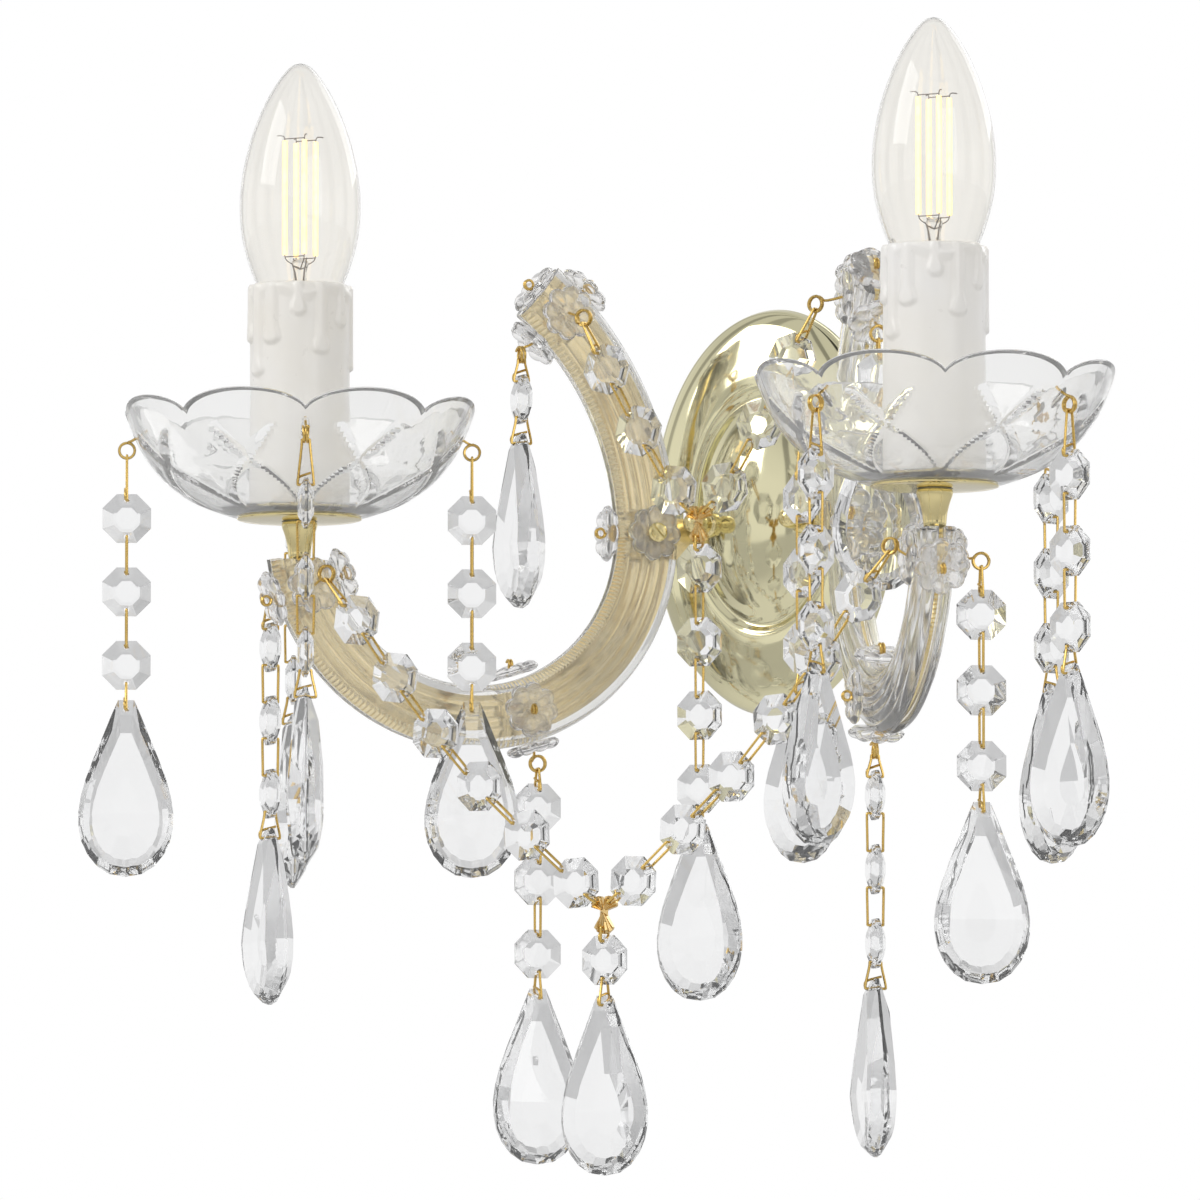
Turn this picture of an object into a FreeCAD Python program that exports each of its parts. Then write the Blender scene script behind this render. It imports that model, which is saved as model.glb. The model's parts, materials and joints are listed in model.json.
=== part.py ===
import FreeCAD, Part
import math
import os

# Double arm wall sconce with glass arms and crystal strands. Millimetres.
# Origin: middle of the wall plate's back rim, on the wall. +Z up, the room is at -Y.
# The right arm is built in its own plane (X along the arm, Y across it, outward) and the
# left arm is its mirror image.

# ---------------------------------------------------------------- driving dimensions
# Wall plate: pressed brass oval with a flange up to a crest, a small step down and a dome.
PLATE_HALF_WIDTH = 39.5
PLATE_HALF_HEIGHT = 59.5
PLATE_WALL = 0.9
CREST_RADIUS = 24.0        # measured across the plate
CREST_DEPTH = 8.3
STEP_WIDTH = 1.8
STEP_DROP = 1.5
DOME_RISE = 14.4
SLOT_CLEARANCE = 0.6

# Fixings behind and through the wall plate.
BRACKET_WIDTH = 14.0
BRACKET_HALF_HEIGHT = 46.0
BRACKET_THICKNESS = 1.5
WALL_SCREW_SPACING = 76.0
WALL_SCREW_RADIUS = 2.25
WALL_SLOT_LENGTH = 7.0
STUD_X = 15.5
STUD_RADIUS = 2.0
FIXING_Z = -4.0
CAP_NUT_RADIUS = 2.9
CAP_NUT_COLLAR_RADIUS = 3.7
CAP_NUT_COLLAR = 2.0
CAP_NUT_LENGTH = 12.5
YOKE_HEIGHT = 12.0
YOKE_THICKNESS = 1.5
BLOCK_SIZE = (16.0, 4.4, 14.0)
BLOCK_Z = 10.0

# Arms: a brass strip between two ribbed glass half rounds, bent to a hook.
ARM_SPLAY = 40.4           # degrees away from straight ahead
ARM_ROOT_X = 32.5
ARM_ROOT_Y = -17.2
ARM_REACH = 108.1          # root to candle, along the arm
BOW_RADIUS = 54.0
BOW_Z = -7.5
CURL_RADIUS = 91.0
CURL_ANGLE = 51.0
ARM_END_Z = -17.5
STRIP_WIDTH = 12.0
STRIP_THICKNESS = 2.0
GLASS_WIDTH = 18.8
GLASS_THICKNESS = 4.8
RIBS = 3
RIB_DEPTH = 0.8
BOW_SPANS = 13
CURL_SPANS = 3
LUG_LENGTH = 18.0
SCREW_RADIUS = 1.5
SCREW_HEAD_RADIUS = 2.8
SCREW_HEAD_THICKNESS = 1.5
SCREW_CLEARANCE = 0.15
CLAMP_ALONG = 1.0          # middle of the clamp screw, along the arm
CLAMP_Z = -6.5

# Candle: ferrule, brass disc, glass drip pan, threaded tube, lampholder and sleeve.
FERRULE_TOP_RADIUS = 4.6
FERRULE_FOOT_RADIUS = 2.8
FERRULE_BORE = 1.6
DISC_RADIUS = 18.0
DISC_THICKNESS = 1.2
DISC_TOP_Z = -5.0
PAN_RADIUS = 51.5
PAN_RIM_Z = 28.0
PAN_SIDES = 24            # a multiple of the scallops
PAN_WALL = 2.6
PAN_BASE_THICKNESS = 3.0
SCALLOPS = 8
SCALLOP_DEPTH = 6.0
PAN_HOLE_RADIUS = 1.3
PAN_HOLES = 4
TUBE_RADIUS = 5.0
TUBE_BORE = 3.4
TUBE_FLANGE_RADIUS = 8.0
TUBE_FLANGE_THICKNESS = 2.0
TUBE_CLEARANCE = 0.15
HOLDER_RADIUS = 12.6
HOLDER_TOP_Z = 46.0
HOLDER_FLOOR_Z = 19.0
SLEEVE_RADIUS = 15.4
SLEEVE_WALL = 2.0
SLEEVE_TOP_Z = 62.0
LEFT_PAN_HEADING = 32.0    # first hole, degrees from straight ahead towards +X
RIGHT_PAN_HEADING = -14.5

# Bulb with a screw cap.
CAP_RADIUS = 6.9
CAP_CLEARANCE = 0.3
BULB_RADIUS = 17.5
BULB_TIP_Z = 127.0
BULB_WALL = 0.8
FILAMENTS = 4
FILAMENT_RADIUS = 0.75
FILAMENT_CIRCLE = 4.6
FILAMENT_FOOT_Z = 71.0
FILAMENT_LENGTH = 33.0

# Rosettes and wire.
ROSETTE_RADIUS = 8.2
CONCAVE_LIFT = 1.25        # keeps a rosette's rim off the hollow side of a bend
LOW_ANGLE = -107.0         # places of the rosettes on the bow and on the curl, in degrees
HIGH_ANGLE = 45.0
ROSETTE_WAIST = 6.3
ROSETTE_THICKNESS = 3.2
PETALS = 8
WIRE = 0.8
EYE_OPENING = 1.9          # half of the clear opening of a wire eye
EYE_NECK = 0.5
PIN_GAP = 0.3
PIN_LENGTH = 1.6
BAR_CLEARANCE = 0.3        # between an eye and the bar that hangs in it

# Crystals.
OCTAGON_SIZE = 14.0
OCTAGON_THICKNESS = 6.2
HOLE_INSET = 1.8
HOLE_SIZE = 1.7
CHAIN_PITCH = 21.2
DROP_LENGTH = 50.8
DROP_WIDTH = 28.0
DROP_THICKNESS = 10.4
DROP_TABLE = 0.45         # table facet, as a share of the outline
DROP_HOLE_INSET = 2.8
LINK_WIDTH = 5.0
LINK_TOP_WIDTH = 2.8
DROP_LINK = 7.7            # between the holes of a drop and of the octagon over it
PAN_LINK = 13.4            # top pins of the strands
CUP_LINK = 8.8
BOW_LINK = 6.6
CURL_LINK = 6.8
PAN_STRAND_OCTAGONS = 3
ARM_STRAND_OCTAGONS = 3
CENTRE_STRAND_OCTAGONS = 4
PENDANT_LINK = 4.0

# Swags: the slope of each pin, from the arm to the middle, in degrees below level.
LOWER_SLOPES = (52.0, 53.5, 51.0, 47.5, 43.0, 41.5, 42.0)
UPPER_SLOPES = (62.0, 60.5, 57.0, 48.0)
SWAG_FIRST = 16.2          # from the hinge bar to the middle of the first octagon
SWAG_LAST = 12.4           # from the middle of the last octagon to the trefoil
LOWER_SWAG_Y = -104.2
LOWER_SWAG_Z = -23.2
UPPER_SWAG_Y = -47.0
UPPER_SWAG_Z = 53.5
TREFOIL_ARM = 3.0
TREFOIL_TAIL = 4.6
TREFOIL_LOBE = 2.2
TREFOIL_THICKNESS = 2.4

# Flats of the turned pieces.
PLATE_SIDES = 28
SIDES_WIDE = 18
SIDES_SMALL = 12
SIDES_HIDDEN = 8
SIDES_BULB = 14

# ---------------------------------------------------------------- derived values
X_AXIS = FreeCAD.Vector(1, 0, 0)
Y_AXIS = FreeCAD.Vector(0, 1, 0)
Z_AXIS = FreeCAD.Vector(0, 0, 1)
ORIGIN = FreeCAD.Vector(0, 0, 0)
SIDES = {"left": -1, "right": 1}
ARM_END_ANGLE = math.degrees(math.asin((BOW_Z - ARM_END_Z) / BOW_RADIUS))
BOW_X = ARM_REACH - BOW_RADIUS * math.cos(math.radians(ARM_END_ANGLE))
CURL_X = BOW_X - BOW_RADIUS + CURL_RADIUS
HALF_ARM = STRIP_THICKNESS / 2 + GLASS_THICKNESS
HALF_GLASS = GLASS_WIDTH / 2
EYE_RADIUS = EYE_OPENING + WIRE
BAR_DROP = EYE_OPENING - BAR_CLEARANCE - WIRE * math.sqrt(2) / 2
OCTAGON_HOLE = OCTAGON_SIZE / 2 - HOLE_INSET
LINK_LENGTH = CHAIN_PITCH - 2 * OCTAGON_HOLE
FERRULE_TOP_Z = DISC_TOP_Z - DISC_THICKNESS
PAN_FLOOR_Z = DISC_TOP_Z + PAN_BASE_THICKNESS
HOLDER_FOOT_Z = PAN_FLOOR_Z + TUBE_FLANGE_THICKNESS


def vec(x, y, z):
    return FreeCAD.Vector(x, y, z)


def save(name, shapes):
    """Write one named sub-part, a solid or a group of separate solids."""
    shapes = shapes if isinstance(shapes, list) else [shapes]
    shape = shapes[0] if len(shapes) == 1 else Part.makeCompound(shapes)
    shape.exportStep("parts/%s.step" % name)


def rect_block(x0, x1, y0, y1, z0, z1):
    return Part.makeBox(x1 - x0, y1 - y0, z1 - z0, vec(x0, y0, z0))


def polygon_face(points):
    return Part.Face(Part.makePolygon(list(points) + [points[0]]))


def band(low, high, split=False):
    """Faces between two rings of points; a ring of one point is a peak."""
    faces = []
    count = max(len(low), len(high))
    for i in range(count):
        j = (i + 1) % count
        if len(low) == 1:
            faces.append(polygon_face([low[0], high[j], high[i]]))
        elif len(high) == 1:
            faces.append(polygon_face([low[i], low[j], high[0]]))
        elif split:
            faces.append(polygon_face([low[i], low[j], high[j]]))
            faces.append(polygon_face([low[i], high[j], high[i]]))
        else:
            faces.append(polygon_face([low[i], low[j], high[j], high[i]]))
    return faces


def solid_of(faces):
    solid = Part.Solid(Part.makeShell(faces))
    if solid.Volume < 0:
        solid.reverse()
    return solid


def layered_solid(layers):
    """Close a solid through rings of points, with a flat face at each end that is no peak."""
    faces = []
    for low, high in zip(layers, layers[1:]):
        faces += band(low, high)
    for ring in (layers[0], layers[-1]):
        if len(ring) > 1:
            faces.append(polygon_face(ring))
    return solid_of(faces)


def ring_points(radius, level, sides):
    """Corners of a turned piece's flats at one height; one point on the axis."""
    if radius == 0:
        return [vec(0, 0, level)]
    turns = [math.pi * (2 * i + 1) / sides for i in range(sides)]
    return [vec(radius * math.cos(t), radius * math.sin(t), level) for t in turns]


def turned(profile, sides):
    """Turn a closed profile of (radius, height) points about the Z axis, in equal flats."""
    rings = [ring_points(r, h, sides) for r, h in profile]
    faces = []
    for low, high in zip(rings, rings[1:] + rings[:1]):
        if len(low) > 1 or len(high) > 1:
            faces += band(low, high)
    return solid_of(faces).removeSplitter()


def lifted(shape, x, y, z):
    moved = shape.copy()
    moved.translate(vec(x, y, z))
    return moved


def bar_between(start, end, size=WIRE):
    """Square wire from one point to another."""
    run = end.sub(start)
    bar = Part.makeBox(size, size, run.Length, vec(-size / 2, -size / 2, 0))
    bar.Placement = FreeCAD.Placement(start, FreeCAD.Rotation(Z_AXIS, run))
    return bar


# ---------------------------------------------------------------- arm frame
def arm_vector(along, across, up=0.0):
    splay = math.radians(ARM_SPLAY)
    x = along * math.sin(splay) + across * math.cos(splay)
    y = -along * math.cos(splay) + across * math.sin(splay)
    return vec(x, y, up)


def arm_point(along, across, up):
    """A point of the right arm's own frame, in the frame of the whole sconce."""
    return arm_vector(along, across, up).add(vec(ARM_ROOT_X, ARM_ROOT_Y, 0))


def to_right_arm(shape):
    moved = shape.copy()
    moved.rotate(ORIGIN, Z_AXIS, ARM_SPLAY - 90)
    moved.translate(vec(ARM_ROOT_X, ARM_ROOT_Y, 0))
    return moved


def on_side(shape, side):
    """Keep a shape of the right half, or mirror it to the left half."""
    return shape if side > 0 else shape.mirror(ORIGIN, X_AXIS)


def bow_point(angle, offset=0.0):
    """A point on the lower bow, by its angle above the forward level."""
    radius = BOW_RADIUS + offset
    turn = math.radians(angle)
    return BOW_X + radius * math.cos(turn), BOW_Z + radius * math.sin(turn)


def curl_point(angle, offset=0.0):
    """A point on the upper curl, by its angle above the rear level."""
    radius = CURL_RADIUS + offset
    turn = math.radians(angle)
    return CURL_X - radius * math.cos(turn), BOW_Z + radius * math.sin(turn)


def hook_sweep(section):
    """Carry a section, a list of (offset outwards, across), along the whole hook of an arm."""
    last = 360 - ARM_END_ANGLE + 3
    rings = []
    for i in range(BOW_SPANS + 1):
        turn = last + (180 - last) * i / BOW_SPANS
        ends = [bow_point(turn, u) for u, v in section]
        rings.append([vec(x, v, z) for (x, z), (u, v) in zip(ends, section)])
    for i in range(1, CURL_SPANS + 1):
        ends = [curl_point(CURL_ANGLE * i / CURL_SPANS, u) for u, v in section]
        rings.append([vec(x, v, z) for (x, z), (u, v) in zip(ends, section)])
    seat = rect_block(BOW_X, BOW_X + 2 * BOW_RADIUS, -GLASS_WIDTH, GLASS_WIDTH, ARM_END_Z, 0)
    return layered_solid(rings).cut(seat)


# ---------------------------------------------------------------- wall plate and its fixings
def plate_profile(wall):
    """Half section of the plate's skin as (half width, depth), from the rim to the apex."""
    step = CREST_RADIUS - STEP_WIDTH
    foot = CREST_DEPTH - STEP_DROP
    rise = DOME_RISE - foot
    skin = [(PLATE_HALF_WIDTH, 0.0), (PLATE_HALF_WIDTH - 1, CREST_DEPTH * 0.36),
            (PLATE_HALF_WIDTH - 4, CREST_DEPTH * 0.68), (PLATE_HALF_WIDTH - 9, CREST_DEPTH * 0.88),
            (CREST_RADIUS, CREST_DEPTH), (step, foot)]
    for share in (0.75, 0.4):
        skin.append((step * share, foot + rise * math.sqrt(1 - share ** 1.6)))
    skin.append((0.0, DOME_RISE))
    if wall:
        bare = [skin[0], skin[2], skin[4], skin[6], skin[8]]
        skin = [(max(0.0, r - wall * 1.4), h - wall * 1.3 if h else 0.0) for r, h in bare]
    return skin


def plate_volume(wall=0.0):
    """The closed volume under the plate's outer or inner skin."""
    stretch = PLATE_HALF_HEIGHT / PLATE_HALF_WIDTH
    rings = []
    for radius, depth in plate_profile(wall):
        if radius == 0:
            rings.append([vec(0, -depth, 0)])
            continue
        turns = [2 * math.pi * i / PLATE_SIDES for i in range(PLATE_SIDES)]
        rings.append([vec(radius * math.cos(t), -depth, radius * stretch * math.sin(t)) for t in turns])
    return layered_solid(rings)


def forward_rod(radius, start, end):
    """Rod along the line of sight from the wall, between two depths, in flats."""
    rod = turned([(0, start), (radius, start), (radius, end), (0, end)], SIDES_HIDDEN)
    rod.rotate(ORIGIN, X_AXIS, 90)
    return rod


def make_wall_plate():
    plate = plate_volume().cut(plate_volume(PLATE_WALL))
    half_slot = STRIP_THICKNESS / 2 + SLOT_CLEARANCE
    slot = rect_block(-LUG_LENGTH, -LUG_LENGTH / 4, -half_slot, half_slot,
                      BOW_Z - YOKE_HEIGHT, BOW_Z + YOKE_HEIGHT / 2 + SLOT_CLEARANCE)
    for side in SIDES.values():
        plate = plate.cut(on_side(to_right_arm(slot), side))
        bore = forward_rod(STUD_RADIUS + SLOT_CLEARANCE, 0, DOME_RISE)
        plate = plate.cut(lifted(bore, side * STUD_X, 0, FIXING_Z))
    return plate


def make_wall_bracket():
    """Vertical steel strip with two slots, screwed to the wall."""
    half = BRACKET_WIDTH / 2
    strip = rect_block(-half, half, -BRACKET_THICKNESS, 0, -BRACKET_HALF_HEIGHT, BRACKET_HALF_HEIGHT)
    reach = WALL_SLOT_LENGTH / 2 - WALL_SCREW_RADIUS
    for level in (-WALL_SCREW_SPACING / 2, WALL_SCREW_SPACING / 2):
        for end in (level - reach, level + reach):
            strip = strip.cut(Part.makeCylinder(WALL_SCREW_RADIUS, BRACKET_THICKNESS, vec(0, 0, end),
                                                vec(0, -1, 0)))
        strip = strip.cut(rect_block(-WALL_SCREW_RADIUS, WALL_SCREW_RADIUS, -BRACKET_THICKNESS, 0,
                                     level - reach, level + reach))
    return strip


def make_arm_yoke():
    """Level steel strap across the bracket, with an ear at each end for an arm's lug."""
    top = BOW_Z + YOKE_HEIGHT / 2
    foot = BOW_Z - YOKE_HEIGHT / 2
    ear_face = -STRIP_THICKNESS / 2
    ear = rect_block(-LUG_LENGTH - 1.4, -LUG_LENGTH + 1.8, ear_face - YOKE_THICKNESS, ear_face, foot, top)
    ear = to_right_arm(ear)
    half = abs(arm_point(-LUG_LENGTH, ear_face, 0).x)
    yoke = rect_block(-half, half, -BRACKET_THICKNESS - YOKE_THICKNESS, -BRACKET_THICKNESS, foot, top)
    for side in SIDES.values():
        yoke = yoke.fuse(on_side(ear, side))
    return yoke.removeSplitter()


def nut_seat():
    """Depth of the plate's skin at the studs, on the oval's level line."""
    skin = plate_profile(0)
    for (r1, h1), (r0, h0) in zip(skin, skin[1:]):
        if r0 <= STUD_X <= r1:
            return h1 + (h0 - h1) * (r1 - STUD_X) / (r1 - r0)
    return DOME_RISE


def make_plate_studs():
    """Two studs on the yoke that carry the wall plate's cap nuts."""
    foot = BRACKET_THICKNESS + YOKE_THICKNESS
    tip = nut_seat() + CAP_NUT_LENGTH * 0.6
    return [lifted(forward_rod(STUD_RADIUS, foot, tip), side * STUD_X, 0, FIXING_Z)
            for side in SIDES.values()]


def make_plate_cap_nuts():
    """Turned brass cap nuts whose collars are cut to the slope of the dome."""
    seat = nut_seat()
    collar = seat + CAP_NUT_COLLAR
    tip = seat + CAP_NUT_LENGTH
    bore = STUD_RADIUS + 0.05
    floor = seat + CAP_NUT_LENGTH * 0.6
    profile = [(bore, seat - 2), (CAP_NUT_COLLAR_RADIUS, seat - 2), (CAP_NUT_COLLAR_RADIUS, collar),
               (CAP_NUT_RADIUS - 0.4, collar + 0.6), (CAP_NUT_RADIUS, tip - 2.5), (CAP_NUT_RADIUS * 0.6, tip),
               (0, tip), (0, floor), (bore, floor)]
    nut = turned(profile, SIDES_HIDDEN)
    nut.rotate(ORIGIN, X_AXIS, 90)
    dome = plate_volume()
    return [lifted(nut, side * STUD_X, 0, FIXING_Z).cut(dome) for side in SIDES.values()]


def make_terminal_block():
    """Two-pole block on the bracket, with a screw well over each wire bore."""
    width, depth, height = BLOCK_SIZE
    back = -BRACKET_THICKNESS
    block = rect_block(-width / 2, width / 2, back - depth, back, BLOCK_Z, BLOCK_Z + height)
    for pole in (-width / 4, width / 4):
        block = block.cut(rect_block(pole - 1, pole + 1, back - depth / 2 - 1, back - depth / 2 + 1,
                                     BLOCK_Z, BLOCK_Z + height))
        block = block.cut(rect_block(pole - 1.2, pole + 1.2, back - depth, back - depth / 2,
                                     BLOCK_Z + height / 2 - 1.2, BLOCK_Z + height / 2 + 1.2))
    return block


# ---------------------------------------------------------------- arms
def glass_section():
    """Half round with lengthwise ribs, flat on the strip's side."""
    base = STRIP_THICKNESS / 2
    points = [(-HALF_GLASS, base)]
    steps = 2 * RIBS
    for i in range(1, steps):
        u = (-1 + 2 * i / steps) * HALF_GLASS
        crown = GLASS_THICKNESS * math.sqrt(1 - (u / HALF_GLASS) ** 2)
        points.append((u, base + (crown if i % 2 else crown - RIB_DEPTH)))
    points.append((HALF_GLASS, base))
    return points


def rear_bore(radius):
    """Bore across the arm for the screw that clamps the glass at the back of the hook."""
    rod = forward_rod(radius, -3 * HALF_ARM, 3 * HALF_ARM)
    return lifted(rod, CLAMP_ALONG, 0, CLAMP_Z)


def make_arm_strip():
    half = STRIP_THICKNESS / 2
    section = [(-STRIP_WIDTH / 2, -half), (STRIP_WIDTH / 2, -half), (STRIP_WIDTH / 2, half),
               (-STRIP_WIDTH / 2, half)]
    lug = rect_block(-LUG_LENGTH, 0, -half, half, BOW_Z - YOKE_HEIGHT / 2, BOW_Z + YOKE_HEIGHT / 2)
    strip = hook_sweep(section).fuse(lug).removeSplitter()
    return to_right_arm(strip.cut(rear_bore(SCREW_RADIUS + SCREW_CLEARANCE)))


def make_arm_glass():
    """Outer and inner half rounds; the pair has a slit between them at the strip's edges."""
    outer = hook_sweep(glass_section()).cut(rear_bore(SCREW_RADIUS + SCREW_CLEARANCE))
    inner = outer.mirror(ORIGIN, Y_AXIS)
    return [to_right_arm(outer), to_right_arm(inner)]


def make_arm_screw():
    """Slotted screw and nut through the rosettes, the glass and the strip."""
    face = HALF_ARM + ROSETTE_THICKNESS
    end = face + SCREW_HEAD_THICKNESS
    profile = [(0, -end), (SCREW_HEAD_RADIUS, -end), (SCREW_HEAD_RADIUS, -face), (SCREW_RADIUS, -face),
               (SCREW_RADIUS, face), (SCREW_HEAD_RADIUS, face), (SCREW_HEAD_RADIUS, end), (0, end)]
    screw = turned(profile, SIDES_HIDDEN)
    screw.rotate(ORIGIN, X_AXIS, 90)
    slot = rect_block(-SCREW_HEAD_RADIUS, SCREW_HEAD_RADIUS, -end, -end + SCREW_HEAD_THICKNESS / 2, -0.4, 0.4)
    return to_right_arm(lifted(screw.cut(slot), CLAMP_ALONG, 0, CLAMP_Z))


# ---------------------------------------------------------------- candle
def at_candle(shape):
    """Move a turned piece from the Z axis to the right arm's candle."""
    spot = arm_point(ARM_REACH, 0, 0)
    return lifted(shape, spot.x, spot.y, 0)


def make_ferrule():
    return turned([(FERRULE_BORE, ARM_END_Z), (FERRULE_FOOT_RADIUS, ARM_END_Z),
                   (FERRULE_TOP_RADIUS, FERRULE_TOP_Z), (FERRULE_BORE, FERRULE_TOP_Z)], SIDES_SMALL)


def make_disc():
    hole = TUBE_RADIUS + TUBE_CLEARANCE
    return turned([(hole, FERRULE_TOP_Z), (DISC_RADIUS, FERRULE_TOP_Z + 0.4),
                   (DISC_RADIUS, DISC_TOP_Z), (hole, DISC_TOP_Z)], SIDES_WIDE)


def pan_curve():
    """Shape of the drip pan's wall, (radius, height), from the foot to the rim."""
    foot = DISC_RADIUS + 1.0
    height = PAN_RIM_Z - DISC_TOP_Z
    reach = PAN_RADIUS - foot
    shape = ((0.0, 0.0), (0.58, 0.22), (0.80, 0.50), (1.0, 1.0))
    return [(foot + reach * across, DISC_TOP_Z + height * up) for across, up in shape]


def pan_wall_point(level):
    """Radius of the pan's outer skin at a height, and its slope from level."""
    curve = pan_curve()
    for (r0, z0), (r1, z1) in zip(curve, curve[1:]):
        if z0 <= level <= z1:
            share = (level - z0) / (z1 - z0)
            return r0 + (r1 - r0) * share, math.atan2(z1 - z0, r1 - r0)
    return PAN_RADIUS, math.pi / 2


PAN_HOLE_Z = PAN_RIM_Z - SCALLOP_DEPTH - 4.5
PAN_HOLE_R, PAN_SLOPE = pan_wall_point(PAN_HOLE_Z)
PAN_EYE_R = PAN_HOLE_R + 2.4
PAN_EYE_Z = PAN_HOLE_Z - EYE_RADIUS - 0.8


def make_pan(heading):
    """Scalloped pressed glass bowl with a hole under every second dip."""
    bore = TUBE_RADIUS + TUBE_CLEARANCE
    outer = pan_curve()
    inner = [(r - PAN_WALL * 0.5, z + PAN_BASE_THICKNESS * 0.8) for r, z in outer[1:3]]
    inner = [(outer[0][0], PAN_FLOOR_Z)] + inner + [(PAN_RADIUS - PAN_WALL, PAN_RIM_Z)]
    profile = [(bore, PAN_FLOOR_Z), (bore, DISC_TOP_Z)] + outer + inner[::-1]
    start = math.radians(heading - 90)
    rings = []
    for radius, level in profile:
        ring = []
        for i in range(PAN_SIDES):
            turn = start + 2 * math.pi * i / PAN_SIDES
            dip = 0.0
            if level == PAN_RIM_Z and (i * SCALLOPS) % PAN_SIDES == 0:
                dip = SCALLOP_DEPTH
            shift = dip / math.tan(PAN_SLOPE)
            ring.append(vec((radius - shift) * math.cos(turn), (radius - shift) * math.sin(turn), level - dip))
        rings.append(ring)
    faces = []
    for i in range(len(rings)):
        before = (profile[i - 1][1], profile[i][1])
        faces += band(rings[i - 1], rings[i], PAN_RIM_Z in before)
    pan = solid_of(faces).removeSplitter()
    for i in range(PAN_HOLES):
        out, axis = pan_directions(heading + i * 360.0 / PAN_HOLES)
        inward = pan_inward(out)
        foot = out * PAN_HOLE_R + Z_AXIS * PAN_HOLE_Z
        pan = pan.cut(bar_between(foot.sub(inward * PAN_WALL), foot.add(inward * (3 * PAN_WALL)),
                                  2 * PAN_HOLE_RADIUS))
    return pan


def make_candle_tube():
    """Threaded tube with the flange nut that clamps the drip pan."""
    return turned([(TUBE_BORE, FERRULE_TOP_Z), (TUBE_RADIUS, FERRULE_TOP_Z), (TUBE_RADIUS, PAN_FLOOR_Z),
                   (TUBE_FLANGE_RADIUS, PAN_FLOOR_Z), (TUBE_FLANGE_RADIUS, HOLDER_FOOT_Z),
                   (TUBE_BORE, HOLDER_FOOT_Z)], SIDES_HIDDEN)


def make_lampholder():
    """Lampholder: a screw shell for the bulb's cap over a bore for the wires."""
    shell = CAP_RADIUS + CAP_CLEARANCE
    return turned([(TUBE_BORE, HOLDER_FOOT_Z), (HOLDER_RADIUS, HOLDER_FOOT_Z), (HOLDER_RADIUS, HOLDER_TOP_Z),
                   (shell, HOLDER_TOP_Z), (shell, HOLDER_FLOOR_Z), (TUBE_BORE, HOLDER_FLOOR_Z)], SIDES_HIDDEN)


def make_sleeve():
    """Candle sleeve with a rounded lip, standing on the drip pan's floor."""
    bore = SLEEVE_RADIUS - SLEEVE_WALL
    lip = SLEEVE_WALL * 0.5
    return turned([(bore, PAN_FLOOR_Z), (SLEEVE_RADIUS, PAN_FLOOR_Z), (SLEEVE_RADIUS, SLEEVE_TOP_Z - lip),
                   (SLEEVE_RADIUS - lip, SLEEVE_TOP_Z), (bore, SLEEVE_TOP_Z)], SIDES_WIDE)


# ---------------------------------------------------------------- bulb
def bulb_curve(inset):
    """Outline of the bulb's glass from its neck to its tip, as (radius, height)."""
    foot = HOLDER_TOP_Z + CAP_CLEARANCE
    length = BULB_TIP_Z - foot
    shape = ((0.40, 0.0), (0.46, 0.07), (0.79, 0.24), (0.98, 0.42), (0.97, 0.57), (0.80, 0.76), (0.46, 0.91))
    points = [(BULB_RADIUS * width - inset, foot + length * up) for width, up in shape]
    return points + [(0.0, BULB_TIP_Z - inset)]


def make_bulb_glass():
    outer = bulb_curve(0)
    inner = bulb_curve(BULB_WALL)
    return turned(outer + inner[::-1], SIDES_BULB)


def make_bulb_core():
    """Screw cap with the glass stem on it, and the filament rods round the stem."""
    cap_top = HOLDER_TOP_Z + CAP_CLEARANCE
    cap_foot = HOLDER_FLOOR_Z + CAP_CLEARANCE
    neck = bulb_curve(BULB_WALL)[0][0]
    stem = 1.6
    hub = FILAMENT_CIRCLE + FILAMENT_RADIUS
    cap = turned([(0, cap_foot), (CAP_RADIUS * 0.45, cap_foot), (CAP_RADIUS * 0.9, cap_foot + 3),
                  (CAP_RADIUS, cap_top), (neck - 0.8, cap_top), (stem, cap_top + 9),
                  (hub, FILAMENT_FOOT_Z - 1), (hub, FILAMENT_FOOT_Z), (0, FILAMENT_FOOT_Z)], SIDES_HIDDEN)
    rods = []
    for i in range(FILAMENTS):
        turn = math.radians(45 + i * 360.0 / FILAMENTS)
        spot = vec(FILAMENT_CIRCLE * math.cos(turn), FILAMENT_CIRCLE * math.sin(turn), 0)
        rods.append(rect_block(spot.x - FILAMENT_RADIUS, spot.x + FILAMENT_RADIUS,
                               spot.y - FILAMENT_RADIUS, spot.y + FILAMENT_RADIUS,
                               FILAMENT_FOOT_Z, FILAMENT_FOOT_Z + FILAMENT_LENGTH))
    return [cap] + rods


# ---------------------------------------------------------------- rosettes and eyes
def rosette_ring(share, level):
    """Star outline of a rosette's petals at one height."""
    ring = []
    for i in range(2 * PETALS):
        radius = share * (ROSETTE_WAIST if i % 2 else ROSETTE_RADIUS)
        turn = math.pi * i / PETALS
        ring.append(vec(radius * math.cos(turn), radius * math.sin(turn), level))
    return ring


def make_rosette():
    """Pressed glass rosette, standing on Z = 0, its petals rising to the middle."""
    return layered_solid([rosette_ring(1, 0), [vec(0, 0, ROSETTE_THICKNESS)]])


def make_bored_rosette():
    """Rosette with a flat face for a screw's head and a bore for its shank."""
    rosette = layered_solid([rosette_ring(1, 0), rosette_ring(0.6, ROSETTE_THICKNESS)])
    bore = SCREW_RADIUS + SCREW_CLEARANCE
    return rosette.cut(turned([(0, 0), (bore, 0), (bore, ROSETTE_THICKNESS), (0, ROSETTE_THICKNESS)],
                              SIDES_HIDDEN))


def stand_on(shape, spot, direction):
    """Stand a shape that rises along Z on a spot, rising in the given direction."""
    placed = shape.copy()
    placed.Placement = FreeCAD.Placement(spot, FreeCAD.Rotation(Z_AXIS, direction))
    return placed


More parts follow.
